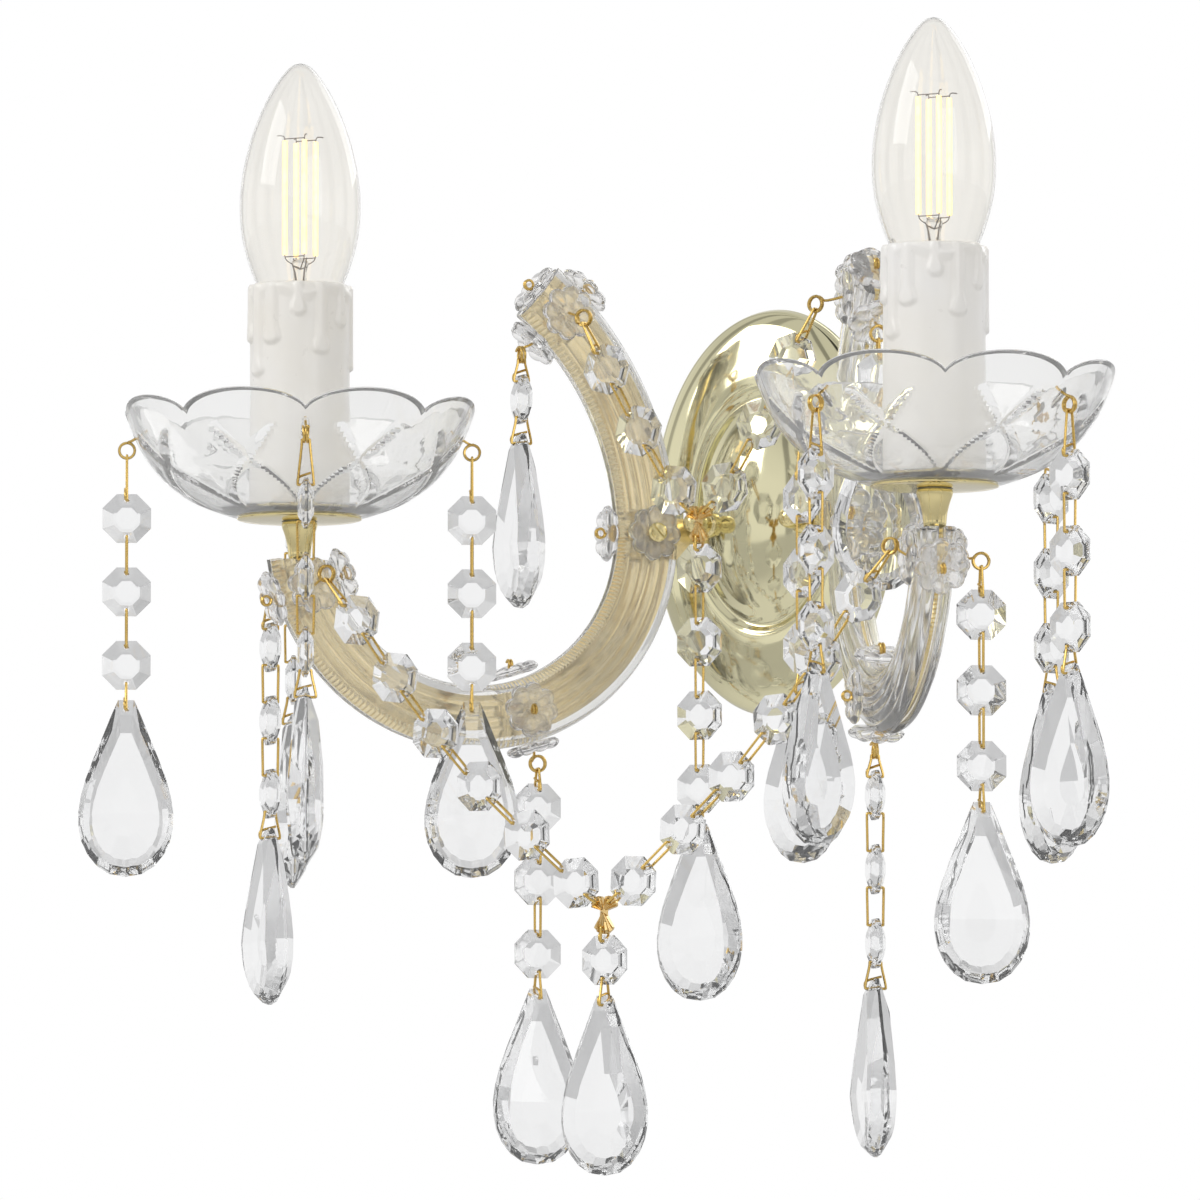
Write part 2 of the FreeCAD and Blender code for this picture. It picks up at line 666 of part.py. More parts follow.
def eye_ring(middle, axis):
    """Wire ring of six straight sides about its level axis."""
    rings = []
    for reach in (EYE_RADIUS, EYE_OPENING):
        corner = reach / math.cos(math.pi / 6)
        turns = [i * math.pi / 3 for i in range(7)]
        rings.append(Part.makePolygon([vec(corner * math.cos(t), -WIRE / 2, corner * math.sin(t))
                                       for t in turns]))
    ring = Part.Face(rings[0]).cut(Part.Face(rings[1])).extrude(vec(0, WIRE, 0))
    heading = math.degrees(math.atan2(axis.y, axis.x)) - 90
    ring.Placement = FreeCAD.Placement(middle, FreeCAD.Rotation(Z_AXIS, heading))
    return ring


def eye_with_stem(middle, axis, anchor):
    """Wire eye whose stem runs to an anchor, from the nearest side of the ring."""
    towards = anchor.sub(middle)
    flat = towards.sub(axis * towards.dot(axis))
    flat.normalize()
    joint = middle.add(flat * (EYE_OPENING + WIRE / 2))
    return eye_ring(middle, axis).fuse(bar_between(joint, anchor))


def arm_stations():
    """Rosettes of the right arm: name, foot on the arm and direction, in the arm's frame."""
    stations = {}
    for label, point, angle, out in (("cup", bow_point, -ARM_END_ANGLE - 8.5, 1),
                                     ("low", bow_point, LOW_ANGLE, 1),
                                     ("curl", curl_point, HIGH_ANGLE, 1)):
        radial_x, radial_z = point(angle, 1)
        middle_x, middle_z = point(angle, 0)
        way = (radial_x - middle_x, 0, radial_z - middle_z)
        back = (-way[0], 0, -way[2])
        over_x, over_z = point(angle, HALF_GLASS)
        under_x, under_z = point(angle, -HALF_GLASS - CONCAVE_LIFT)
        stations[label + "_over"] = ((over_x, 0, over_z), way)
        stations[label + "_under"] = ((under_x, 0, under_z), back)
        stations[label + "_outer"] = ((middle_x, HALF_ARM, middle_z), (0, 1, 0))
        stations[label + "_inner"] = ((middle_x, -HALF_ARM, middle_z), (0, -1, 0))
    root = BOW_X - BOW_RADIUS
    stations["rear_front"] = ((root + HALF_GLASS + CONCAVE_LIFT, 0, BOW_Z + 1), (1, 0, 0))
    x, z = curl_point(CURL_ANGLE)
    end = math.radians(CURL_ANGLE)
    stations["curl_end"] = ((x, 0, z), (math.sin(end), 0, math.cos(end)))
    return stations


def station_frame(name, lift=0.0):
    """Spot and direction of a station in the sconce's frame, lifted off the arm."""
    foot, way = arm_stations()[name]
    direction = arm_vector(*way)
    direction.normalize()
    return arm_point(*foot).add(direction * lift), direction


def make_rosettes():
    plain = make_rosette()
    bored = make_bored_rosette()
    right = [stand_on(plain, *station_frame(name)) for name in arm_stations()]
    for across in (HALF_ARM, -HALF_ARM):
        spot = arm_point(CLAMP_ALONG, across, CLAMP_Z)
        right.append(stand_on(bored, spot, arm_vector(0, across)))
    return right + [on_side(shape, -1) for shape in right]


# Level axis of each eye of the right arm, and how far its middle stands from the rosette's
# own line: along the arm, across it and up.
ALONG_ARM = arm_vector(1, 0)
ACROSS_ARM = arm_vector(0, 1)
EYES = {"cup_outer": (ALONG_ARM, (6.5, 0.0, -1.5)), "cup_inner": (Y_AXIS, None),
        "low_over": (ACROSS_ARM, (0.0, 0.0, 0.0)), "curl_under": (ALONG_ARM, (0.0, 0.0, 0.0)),
        "curl_inner": (Y_AXIS, None), "curl_over": (ACROSS_ARM, (0.0, 0.0, 0.0))}
PLAIN_PINS = ("cup_over", "low_under", "low_inner", "rear_front")


def eye_middle(name):
    """Middle of the wire eye at a station; the swags' eyes stand at the swags' own ends."""
    shift = EYES[name][1]
    if name == "cup_inner":
        return swag_end(LOWER_SLOPES, LOWER_SWAG_Y, LOWER_SWAG_Z).add(vec(0, 0, BAR_DROP))
    if name == "curl_inner":
        return swag_end(UPPER_SLOPES, UPPER_SWAG_Y, UPPER_SWAG_Z).add(vec(0, 0, BAR_DROP))
    spot, direction = station_frame(name, ROSETTE_THICKNESS + EYE_NECK + EYE_RADIUS)
    return spot.add(arm_vector(*shift))


def make_eyes():
    """Wire eyes on the rosettes of both arms and in the holes of both drip pans."""
    right = []
    for name, (axis, shift) in EYES.items():
        anchor, direction = station_frame(name, ROSETTE_THICKNESS + PIN_GAP)
        right.append(eye_with_stem(eye_middle(name), axis, anchor))
    for name in PLAIN_PINS:
        foot, direction = station_frame(name, ROSETTE_THICKNESS + PIN_GAP)
        right.append(bar_between(foot, foot.add(direction * PIN_LENGTH), 2 * WIRE))
    eyes = right + [on_side(shape, -1) for shape in right]
    for side, heading in ((-1, LEFT_PAN_HEADING), (1, RIGHT_PAN_HEADING)):
        for i in range(PAN_HOLES):
            out, axis = pan_directions(heading + i * 360.0 / PAN_HOLES)
            middle = pan_spot(side, out, PAN_EYE_R, PAN_EYE_Z)
            inward = pan_inward(out)
            hole = pan_spot(side, out, PAN_HOLE_R, PAN_HOLE_Z)
            top = middle.add(vec(0, 0, EYE_OPENING + WIRE / 2))
            hook = bar_between(top, hole.add(inward * (PAN_WALL + 1.5)))
            eyes.append(eye_ring(middle, axis).fuse(hook))
    return eyes


def pan_directions(heading):
    """Outward and tangent directions at a heading measured from straight ahead."""
    turn = math.radians(heading)
    out = vec(math.sin(turn), -math.cos(turn), 0)
    return out, Z_AXIS.cross(out)


def pan_inward(out):
    """Direction through the pan's wall at its holes, inwards and up."""
    lean = math.pi / 2 - PAN_SLOPE
    return out * -math.cos(lean) + Z_AXIS * math.sin(lean)


def pan_spot(side, out, radius, level):
    candle = arm_point(ARM_REACH, 0, 0)
    return vec(side * candle.x, candle.y, level).add(out * radius)


# ---------------------------------------------------------------- crystals and wire links
def drill(crystal, level):
    """Cut a wire hole through a crystal that lies in XZ."""
    turns = [math.radians(90 + i * 120) for i in range(3)]
    corners = [vec(HOLE_SIZE * math.cos(t), -DROP_THICKNESS, level + HOLE_SIZE * math.sin(t)) for t in turns]
    if level < 0:
        corners = [vec(p.x, p.y, 2 * level - p.z) for p in corners]
    corners = [vec(p.x, p.y, 2 * level - p.z) for p in corners]
    return crystal.cut(polygon_face(corners).extrude(vec(0, 2 * DROP_THICKNESS, 0)))


def make_octagon():
    """Octagon crystal: two low pyramids on a sharp edge, with a hole near two opposite flats."""
    corner = OCTAGON_SIZE / 2 / math.cos(math.pi / 8)
    turns = [math.pi / 8 + i * math.pi / 4 for i in range(8)]
    outline = [vec(corner * math.cos(t), 0, corner * math.sin(t)) for t in turns]
    peak = OCTAGON_THICKNESS / 2
    crystal = layered_solid([[vec(0, -peak, 0)], outline, [vec(0, peak, 0)]])
    return drill(drill(crystal, OCTAGON_HOLE), -OCTAGON_HOLE)


def make_drop():
    """Pear drop with a table on each side, its hole at the origin."""
    half = ((0.20, 0.0), (0.45, 0.22), (0.84, 0.47), (1.0, 0.70), (0.80, 0.89), (0.30, 1.0))
    right = [(w * DROP_WIDTH / 2, DROP_HOLE_INSET - down * DROP_LENGTH) for w, down in half]
    outline = right + [(-x, z) for x, z in right[::-1]]
    middle = DROP_HOLE_INSET - 0.65 * DROP_LENGTH
    layers = []
    for depth, share in ((-DROP_THICKNESS / 2, DROP_TABLE), (0, 1), (DROP_THICKNESS / 2, DROP_TABLE)):
        layers.append([vec(x * share, depth, middle + (z - middle) * share) for x, z in outline])
    return drill(layered_solid(layers), 0)


def make_hook(length):
    """Pointed wire hook in YZ: its tip at the origin, its bottom bar a length below."""
    half = WIRE / 2
    rings = []
    for grow in (half, -half):
        tip = 0.6 + 2.4 * grow
        low = LINK_WIDTH / 2 + 1.5 * grow
        rings.append(Part.makePolygon([vec(-half, 0, tip), vec(-half, low, -length - grow),
                                       vec(-half, -low, -length - grow), vec(-half, 0, tip)]))
    return Part.Face(rings[0]).cut(Part.Face(rings[1])).extrude(vec(WIRE, 0, 0))


def make_link(top_width, length):
    """Bent wire link in YZ: its top bar at the origin, its bottom bar a length below."""
    half = WIRE / 2

    def frame(grow):
        top = top_width / 2 + grow
        low = LINK_WIDTH / 2 + grow
        return Part.makePolygon([vec(-half, -top, grow), vec(-half, top, grow), vec(-half, low, -length - grow),
                                 vec(-half, -low, -length - grow), vec(-half, -top, grow)])

    return Part.Face(frame(half)).cut(Part.Face(frame(-half))).extrude(vec(WIRE, 0, 0))


OCTAGON = make_octagon()
DROP = make_drop()
LINK = make_link(LINK_WIDTH, LINK_LENGTH)
END_LINK = make_link(LINK_WIDTH, DROP_LINK)


def make_strand(first_link, octagons, top_width=LINK_TOP_WIDTH):
    """Strand that hangs from the origin: crystals and wire, with its bars along Y."""
    crystals = []
    wires = [make_link(top_width, first_link)]
    level = -first_link - OCTAGON_HOLE
    for i in range(octagons):
        crystals.append(lifted(OCTAGON, 0, 0, level))
        last = i == octagons - 1
        wires.append(lifted(END_LINK if last else LINK, 0, 0, level - OCTAGON_HOLE))
        level -= CHAIN_PITCH
    hole = level + CHAIN_PITCH - OCTAGON_HOLE - DROP_LINK
    crystals.append(lifted(DROP, 0, 0, hole))
    return crystals, wires


def hang(shapes, spot, axis):
    """Place a strand's shapes at a spot, with their Y along a level axis."""
    heading = math.degrees(math.atan2(axis.y, axis.x)) - 90
    placed = []
    for shape in shapes:
        moved = shape.copy()
        moved.rotate(ORIGIN, Z_AXIS, heading)
        moved.translate(spot)
        placed.append(moved)
    return placed


def save_strand(name, strand, spot, axis):
    crystals, wires = strand
    save(name + "_crystals", hang(crystals, spot, axis))
    save(name + "_wires", hang(wires, spot, axis))
    print("%s hinge %.4f %.4f %.4f axis %.5f %.5f 0" % (name, spot.x, spot.y, spot.z, axis.x, axis.y))


# ---------------------------------------------------------------- swags
def swag_lengths(slopes):
    return [SWAG_FIRST] + [CHAIN_PITCH] * (len(slopes) - 2) + [SWAG_LAST]


def swag_end(slopes, y, z):
    """The right end of a swag, where its last bar hangs in an eye."""
    run = sum(length * math.cos(math.radians(slope)) for length, slope in zip(swag_lengths(slopes), slopes))
    return vec(run, y, z)


def swag_middle(slopes, y, z):
    fall = sum(length * math.sin(math.radians(slope)) for length, slope in zip(swag_lengths(slopes), slopes))
    return vec(0, y, z - fall)


def make_trefoil():
    """Brass spacer with three lobes, each with a hole for a wire; middle at the origin."""
    depth = TREFOIL_THICKNESS / 2
    body = None
    for turn, reach in ((50, TREFOIL_ARM), (130, TREFOIL_ARM), (270, TREFOIL_TAIL)):
        way = math.radians(turn)
        out = vec(math.cos(way), 0, math.sin(way))
        side = vec(-math.sin(way), 0, math.cos(way))
        tip = out * (reach + TREFOIL_LOBE * 0.75)
        points = [out * -0.4, out * reach - side * TREFOIL_LOBE, tip - side * (TREFOIL_LOBE * 0.5),
                  tip + side * (TREFOIL_LOBE * 0.5), out * reach + side * TREFOIL_LOBE]
        lobe = polygon_face([p.add(vec(0, -depth, 0)) for p in points]).extrude(vec(0, 2 * depth, 0))
        body = lobe if body is None else body.fuse(lobe)
    body = body.removeSplitter()
    half = 0.7
    for spot in trefoil_holes():
        body = body.cut(rect_block(spot.x - half, spot.x + half, -depth, depth, spot.z - half, spot.z + half))
    return body


def trefoil_holes():
    holes = []
    for turn, reach in ((50, TREFOIL_ARM), (130, TREFOIL_ARM), (270, TREFOIL_TAIL)):
        way = math.radians(turn)
        holes.append(vec(reach * math.cos(way), 0, reach * math.sin(way)))
    return holes


def wire_between(start, end, top_width):
    """Wire link between two bars of a swag, in the plane of its run and Y."""
    run = end.sub(start)
    link = make_link(top_width, run.Length)
    turn = math.degrees(math.atan2(run.x, -run.z))
    link.rotate(ORIGIN, Y_AXIS, -turn)
    link.translate(start)
    return link


def make_swag(slopes, y, z):
    """Crystals and wire of both halves of a swag, with the trefoil at its middle."""
    crystals = []
    wires = []
    middle = swag_middle(slopes, y, z)
    for side in (1, -1):
        end = swag_end(slopes, y, z)
        bar = vec(end.x * side, y, z)
        spot = vec(bar.x, bar.y, bar.z)
        for count, (length, slope) in enumerate(zip(swag_lengths(slopes)[:-1], slopes)):
            lean = math.radians(slope)
            spot = spot.add(vec(-side * length * math.cos(lean), 0, -length * math.sin(lean)))
            ahead = math.radians((slope + slopes[count + 1]) / 2)
            way = vec(-side * math.cos(ahead), 0, -math.sin(ahead))
            octagon = OCTAGON.copy()
            octagon.rotate(ORIGIN, Y_AXIS, math.degrees(math.atan2(way.x, -way.z)) * -1)
            octagon.translate(spot)
            crystals.append(octagon)
            near = spot.sub(way * OCTAGON_HOLE)
            wires.append(wire_between(bar, near, LINK_TOP_WIDTH if count == 0 else LINK_WIDTH))
            bar = spot.add(way * OCTAGON_HOLE)
        lobe = trefoil_holes()[0 if side > 0 else 1].add(middle)
        wires.append(wire_between(bar, lobe, LINK_WIDTH))
    trefoil = make_trefoil()
    trefoil.translate(middle)
    return crystals, wires + [trefoil]


def make_swag_pair(name, slopes, y, z, octagons):
    """A swag and the strand that hangs from its trefoil."""
    crystals, wires = make_swag(slopes, y, z)
    save(name + "_crystals", crystals)
    save(name + "_wires", wires)
    print("%s hinge 0 %.4f %.4f axis 1 0 0" % (name, y, z))
    spot = swag_middle(slopes, y, z).add(trefoil_holes()[2])
    link = PENDANT_LINK
    save_strand(name + "_pendant", make_strand(link, octagons, LINK_WIDTH), spot, Y_AXIS)


# ---------------------------------------------------------------- assembly
def make_arm_strands(side, name):
    """Strands that hang from the eyes of one arm."""
    for label, station, link, octagons in (("cup", "cup_outer", CUP_LINK, ARM_STRAND_OCTAGONS),
                                           ("bow", "low_over", BOW_LINK, ARM_STRAND_OCTAGONS),
                                           ("curl", "curl_under", CURL_LINK, 1)):
        spot = eye_middle(station).sub(vec(0, 0, BAR_DROP))
        axis = EYES[station][0]
        spot = vec(side * spot.x, spot.y, spot.z)
        axis = vec(side * axis.x, axis.y, 0)
        save_strand("%s_%s_strand" % (name, label), make_strand(link, octagons), spot, axis)


def make_pan_strands(side, name, heading):
    """Strands that hang from the holes of one drip pan."""
    for i in range(PAN_HOLES):
        out, axis = pan_directions(heading + i * 360.0 / PAN_HOLES)
        spot = pan_spot(side, out, PAN_EYE_R, PAN_EYE_Z - BAR_DROP)
        save_strand("%s_pan_strand_%d" % (name, i + 1), make_strand(PAN_LINK, PAN_STRAND_OCTAGONS), spot, axis)


def main():
    os.makedirs("parts", exist_ok=True)
    save("wall_plate", make_wall_plate())
    save("wall_bracket", make_wall_bracket())
    save("arm_yoke", make_arm_yoke())
    save("plate_studs", make_plate_studs())
    save("plate_cap_nuts", make_plate_cap_nuts())
    save("terminal_block", make_terminal_block())
    strip = make_arm_strip()
    glass = make_arm_glass()
    screw = make_arm_screw()
    turned_pieces = {"arm_ferrules": make_ferrule(), "drip_pan_discs": make_disc(),
                     "candle_tubes": make_candle_tube(), "lampholders": make_lampholder(),
                     "candle_sleeves": make_sleeve()}
    for piece, shape in turned_pieces.items():
        right = at_candle(shape)
        save(piece, [on_side(right, -1), right])
    save("arm_screws", [on_side(screw, -1), screw])
    save("rosettes", make_rosettes())
    save("wire_eyes", make_eyes())
    candle = arm_point(ARM_REACH, 0, 0)
    bulb_glass = at_candle(make_bulb_glass())
    bulb_core = [at_candle(shape) for shape in make_bulb_core()]
    for name, side in SIDES.items():
        heading = LEFT_PAN_HEADING if side < 0 else RIGHT_PAN_HEADING
        save("%s_arm_strip" % name, on_side(strip, side))
        save("%s_arm_glass" % name, [on_side(shape, side) for shape in glass])
        save("%s_drip_pan" % name, lifted(make_pan(heading), side * candle.x, candle.y, 0))
        save("%s_bulb_glass" % name, on_side(bulb_glass, side))
        save("%s_bulb_core" % name, [on_side(shape, side) for shape in bulb_core])
        make_arm_strands(side, name)
        make_pan_strands(side, name, heading)
    make_swag_pair("lower_swag", LOWER_SLOPES, LOWER_SWAG_Y, LOWER_SWAG_Z, 1)
    make_swag_pair("upper_swag", UPPER_SLOPES, UPPER_SWAG_Y, UPPER_SWAG_Z, CENTRE_STRAND_OCTAGONS)


main()
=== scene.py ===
import json
import math

import bmesh
import bpy
import numpy as np
from mathutils import Matrix, Vector

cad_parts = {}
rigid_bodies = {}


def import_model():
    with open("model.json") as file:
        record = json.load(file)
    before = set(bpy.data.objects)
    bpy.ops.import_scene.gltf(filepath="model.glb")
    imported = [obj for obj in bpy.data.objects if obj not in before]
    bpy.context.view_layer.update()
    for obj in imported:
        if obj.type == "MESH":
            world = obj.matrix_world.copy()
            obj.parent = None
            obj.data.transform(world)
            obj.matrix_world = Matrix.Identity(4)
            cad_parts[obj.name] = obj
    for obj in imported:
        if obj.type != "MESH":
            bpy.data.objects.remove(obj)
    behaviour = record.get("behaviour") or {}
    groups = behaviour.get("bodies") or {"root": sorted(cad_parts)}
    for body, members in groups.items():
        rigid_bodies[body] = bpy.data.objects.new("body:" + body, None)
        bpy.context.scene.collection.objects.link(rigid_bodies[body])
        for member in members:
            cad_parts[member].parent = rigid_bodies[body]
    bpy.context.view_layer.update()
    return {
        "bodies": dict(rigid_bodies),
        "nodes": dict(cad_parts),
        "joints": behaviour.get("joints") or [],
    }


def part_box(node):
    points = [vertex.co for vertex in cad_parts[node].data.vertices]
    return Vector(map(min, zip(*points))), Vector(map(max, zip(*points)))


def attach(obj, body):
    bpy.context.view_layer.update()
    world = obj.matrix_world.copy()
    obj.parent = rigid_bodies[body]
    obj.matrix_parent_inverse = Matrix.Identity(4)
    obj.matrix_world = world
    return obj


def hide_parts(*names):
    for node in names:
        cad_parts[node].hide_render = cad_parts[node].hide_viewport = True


bl_info = {
    "name": "Crystal Wall Sconce",
    "version": (1, 0, 0),
    "blender": (4, 5, 0),
    "location": "3D View > Sidebar > Sconce",
    "description": "Dresses the packed frame of a two arm wall sconce with its crystal strands",
    "category": "Object",
}

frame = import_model()
ROOT = "sconce"
SIDES = {"left": -1, "right": 1}
UP = Vector((0, 0, 1))
# Lengths below are in millimetres, as in the CAD part. A finished piece's mesh is in metres.
MM = 0.001
WIRE = 0.4                 # radius of the gilt wire
LEAD = 0.16                # radius of the thin wires in a bulb
RING = 2.3                 # radius of a wire eye, to the middle of its wire
BAR_DROP = 1.03            # from the middle of an eye down to the bar that hangs in it
BAR_SAG = 0.45             # from a hinge down to the top bar of the first link
OCTAGON_HOLE = 5.2         # from an octagon's middle to each of its holes
OCTAGON_EDGE = 0.5         # half thickness of an octagon at its rim
OCTAGON_TABLE = 3.2        # half width of the flat table on each side
TABLE_CUT = 0.8            # depth that the table is cut below the peak
DROP_HOLE = 2.8            # from a drop's top to its hole
DROP_EDGE = 0.5            # half thickness of a drop at its rim
DROP_RIDGE = 0.65          # level of its ridge, as a share of its length
DROP_LEAST = 25            # a crystal longer than this is a drop
LINK_TOP = 1.1             # half width of a link's top bar in an eye
LINK_HALF = 2.4            # and in an octagon
LINK_FOOT = 2.3            # half width of its bottom bar in an octagon
SWAG_FIRST = 16.2          # from the eye to the first octagon of a swag
SPACER_HOLE = 3.0          # from a spacer's middle to its upper holes
SPACER_TURN = math.radians(50)     # how steeply they lie above it
SPACER_DROP = 4.6          # from its middle down to its lower hole

# The arms' plane and the hook that is bent in it.
ARM_ROOT = (32.5, -17.2)
SPLAY = math.radians(40.4)
REACH = 108.1
BOW_RADIUS = 54.0
BOW_LEVEL = -7.5
CURL_RADIUS = 91.0
CURL_ANGLE = 51.0
ARM_END = -17.5
END_ANGLE = math.degrees(math.asin((BOW_LEVEL - ARM_END) / BOW_RADIUS))
BOW_X = REACH - BOW_RADIUS * math.cos(math.radians(END_ANGLE))
CURL_X = BOW_X - BOW_RADIUS + CURL_RADIUS
GLASS_HALF = 9.4           # half width of a half round
GLASS_SEAT = 1.02          # flat side of a half round, from the middle of the strip
GLASS_CROWN = 4.8          # its height over the flat side
RIBS = 3
RIB_DEPTH = 0.75
STRIP_FACE = 0.95          # half thickness of the strip
STRIP_EDGES = (6.1, 6.6)   # half widths of the strip, in its notches and on its teeth
LUG = (-18, 1.5)           # the bar that holds the strip, along the arm
LUG_HALF = 6
SLOT = (20, 3.4, 19)       # opening of the plate for an arm's lug

# Drip pan.
PAN_FLOOR = -2.0
PAN_FOOT = -5.0
PAN_BORE = 5.15
PAN_RIM = 27.6
SCALLOPS = 8
SCALLOP_DIP = 5.6
LEAF_CUT = (7.0, 18.5)     # lowest and highest level of the leaf cuts
CROSS_CUT = (-3.5, 8.5)    # and of the crossing cuts under them
CUT_DEPTH = 1.9
PAN_HOLE = (47.6, 17.6)    # radius and level of the holes for the strands
PAN_HOLE_LEAN = math.radians(68)
HOOK_SPOT = (46.6, 18.0)   # radius and level at which a wire hook goes through

# Candle sleeve.
SLEEVE_BORE = 13.4
SLEEVE_WALL = 14.4

# Glass rosettes.
PETALS = 8
BEAD = 2.78
ROSETTE_RADIUS = 8.2
PIN_LEAST = 3.15           # a lower rosette has no pin
SCREW_REACH = 6.0          # a rosette this near a clamp screw is bored for it

# Camera, in metres and degrees.
CAMERA_TURN = 28.5
CAMERA_RISE = -5.0
CAMERA_AWAY = 3.4
CAMERA_FIELD = 0.34985
CAMERA_AIM = (-0.05102, -0.02545)


# ------------------------------------------------------------------ settings in the sidebar
class SconceCrystalSizes(bpy.types.PropertyGroup):
    octagon: bpy.props.FloatProperty(
        name="Octagon", description="Width of an octagon crystal across its flats",
        default=0.014, min=0.004, unit="LENGTH")
    octagon_depth: bpy.props.FloatProperty(
        name="Octagon depth", description="Thickness of an octagon crystal at its middle",
        default=0.0062, min=0.002, unit="LENGTH")
    drop: bpy.props.FloatProperty(
        name="Drop", description="Length of a pear drop", default=0.0508, min=0.02, unit="LENGTH")
    drop_width: bpy.props.FloatProperty(
        name="Drop width", description="Width of a pear drop", default=0.028, min=0.01, unit="LENGTH")
    drop_depth: bpy.props.FloatProperty(
        name="Drop depth", description="Thickness of a pear drop at its ridge",
        default=0.0104, min=0.004, unit="LENGTH")


def colour_setting(name, description, default):
    return bpy.props.FloatVectorProperty(
        name=name, description=description, subtype="COLOR", size=3, default=default, min=0, max=1)


class SconceColours(bpy.types.PropertyGroup):
    plate: colour_setting(
        "Plate brass", "Pale polished brass of the wall plate", (0.80, 0.755, 0.50))
    brass: colour_setting(
        "Brass", "Polished brass of the ferrules, discs and nuts", (0.90, 0.77, 0.40))
    wire: colour_setting(
        "Gilt wire", "Gilt wire of the pins, links and eyes", (0.80, 0.55, 0.17))
    candle: colour_setting(
        "Candle", "Ivory white of the candle sleeves", (0.90, 0.885, 0.86))
    crystal: colour_setting(
        "Crystal", "Tint of the cut crystals", (0.985, 0.987, 0.99))


class SconceStudio(bpy.types.PropertyGroup):
    floor_depth: bpy.props.FloatProperty(
        name="Floor", description="Height of the floor below the middle of the wall plate",
        default=-1.3, unit="LENGTH")
    key_power: bpy.props.FloatProperty(
        name="Key light", description="Power of the large soft lamp", default=26.0, min=0, unit="POWER")
    fill_power: bpy.props.FloatProperty(
        name="Fill light", description="Power of the soft lamp on the other side", default=10.0, min=0,
        unit="POWER")


# ------------------------------------------------------------------ modelling helpers
def deselect():
    active = bpy.context.view_layer.objects.active
    if active and active.mode != "OBJECT":
        bpy.ops.object.mode_set(mode="OBJECT")
    bpy.ops.object.select_all(action="DESELECT")


def activate(piece):
    deselect()
    piece.select_set(True)
    bpy.context.view_layer.objects.active = piece


def edit(piece):
    activate(piece)
    bpy.ops.object.mode_set(mode="EDIT")
    bpy.ops.mesh.select_all(action="SELECT")


def leave_edit():
    bpy.ops.object.mode_set(mode="OBJECT")


def drawn(name, points, edges=(), faces=()):
    """A new mesh object from points in millimetres."""
    mesh = bpy.data.meshes.new(name)
    mesh.from_pydata([Vector(p) * MM for p in points], edges, faces)
    piece = bpy.data.objects.new(name, mesh)
    bpy.context.collection.objects.link(piece)
    return piece


def mended(piece):
    """Merge doubles and point every face outwards."""
    edit(piece)
    bpy.ops.mesh.remove_doubles(threshold=1e-6)
    bpy.ops.mesh.normals_make_consistent(inside=False)
    leave_edit()
    return piece


def modified(piece, kind, **settings):
    activate(piece)
    modifier = piece.modifiers.new(kind.title(), kind)
    for key, value in settings.items():
        setattr(modifier, key, value)
    bpy.ops.object.modifier_apply(modifier=modifier.name)
    return piece


def smooth(piece, angle=35):
    activate(piece)
    bpy.ops.object.shade_smooth_by_angle(angle=math.radians(angle))
    return piece


def moved(piece, matrix):
    piece.data.transform(matrix)
    if matrix.determinant() < 0:
        piece.data.flip_normals()
    return piece


def at(x, y, z):
    return Matrix.Translation(Vector((x, y, z)) * MM)


def removed(*pieces):
    for piece in pieces:
        bpy.data.objects.remove(piece)


def cut_away(piece, *cutters):
    """Cut each of the cutters out of a piece."""
    for cutter in cutters:
        modified(piece, "BOOLEAN", operation="DIFFERENCE", object=cutter, solver="EXACT")
    removed(*cutters)
    return piece


def curve_through(points, per=6):
    """Points of a smooth curve through the given ones."""
    line = [np.array(p, float) for p in points]
    line = [2 * line[0] - line[1]] + line + [2 * line[-1] - line[-2]]
    out = []
    for a, b, c, d in zip(line, line[1:], line[2:], line[3:]):
        for i in range(per):
            t = i / per
            out.append(0.5 * (2 * b + (c - a) * t + (2 * a - 5 * b + 4 * c - d) * t * t
                              + (3 * b - a - 3 * c + d) * t ** 3))
    out.append(line[-2])
    return [tuple(p) for p in out]


def turned(name, profile, steps=64, closed=False):
    """Spin a profile of (radius, height) about the Z axis."""
    line = [(r, 0, z) for r, z in profile]
    edges = [(i, i + 1) for i in range(len(line) - 1)]
    if closed:
        edges.append((len(line) - 1, 0))
    piece = drawn(name, line, edges)
    edit(piece)
    bpy.ops.mesh.spin(steps=steps, angle=2 * math.pi, center=(0, 0, 0), axis=(0, 0, 1))
    leave_edit()
    return mended(piece)


def pointing(direction, spot=(0, 0, 0)):
    """Carries a piece that rises along Z to a spot, rising in a direction."""
    turn = Vector((0, 0, 1)).rotation_difference(Vector(direction)).to_matrix().to_4x4()
    return at(*spot) @ turn


def standing(middle, front, up):
    """Carries a piece that faces -Y and stands along Z to its middle, front and upward axes."""
    back = -Vector(front).normalized()
    side = back.cross(Vector(up)).normalized()
    rise = side.cross(back)
    turn = Matrix((side, back, rise)).transposed().to_4x4()
    return at(*middle) @ turn


def gathered(name, copies):
    """One piece from pairs of a model and the matrix that carries its copy into place."""
    work = bmesh.new()
    for model, matrix in copies:
        first = len(work.verts)
        work.from_mesh(model.data)
        work.verts.ensure_lookup_table()
        bmesh.ops.transform(work, matrix=matrix, verts=work.verts[first:])
    mesh = bpy.data.meshes.new(name)
    work.to_mesh(mesh)
    work.free()
    piece = bpy.data.objects.new(name, mesh)
    bpy.context.collection.objects.link(piece)
    return piece


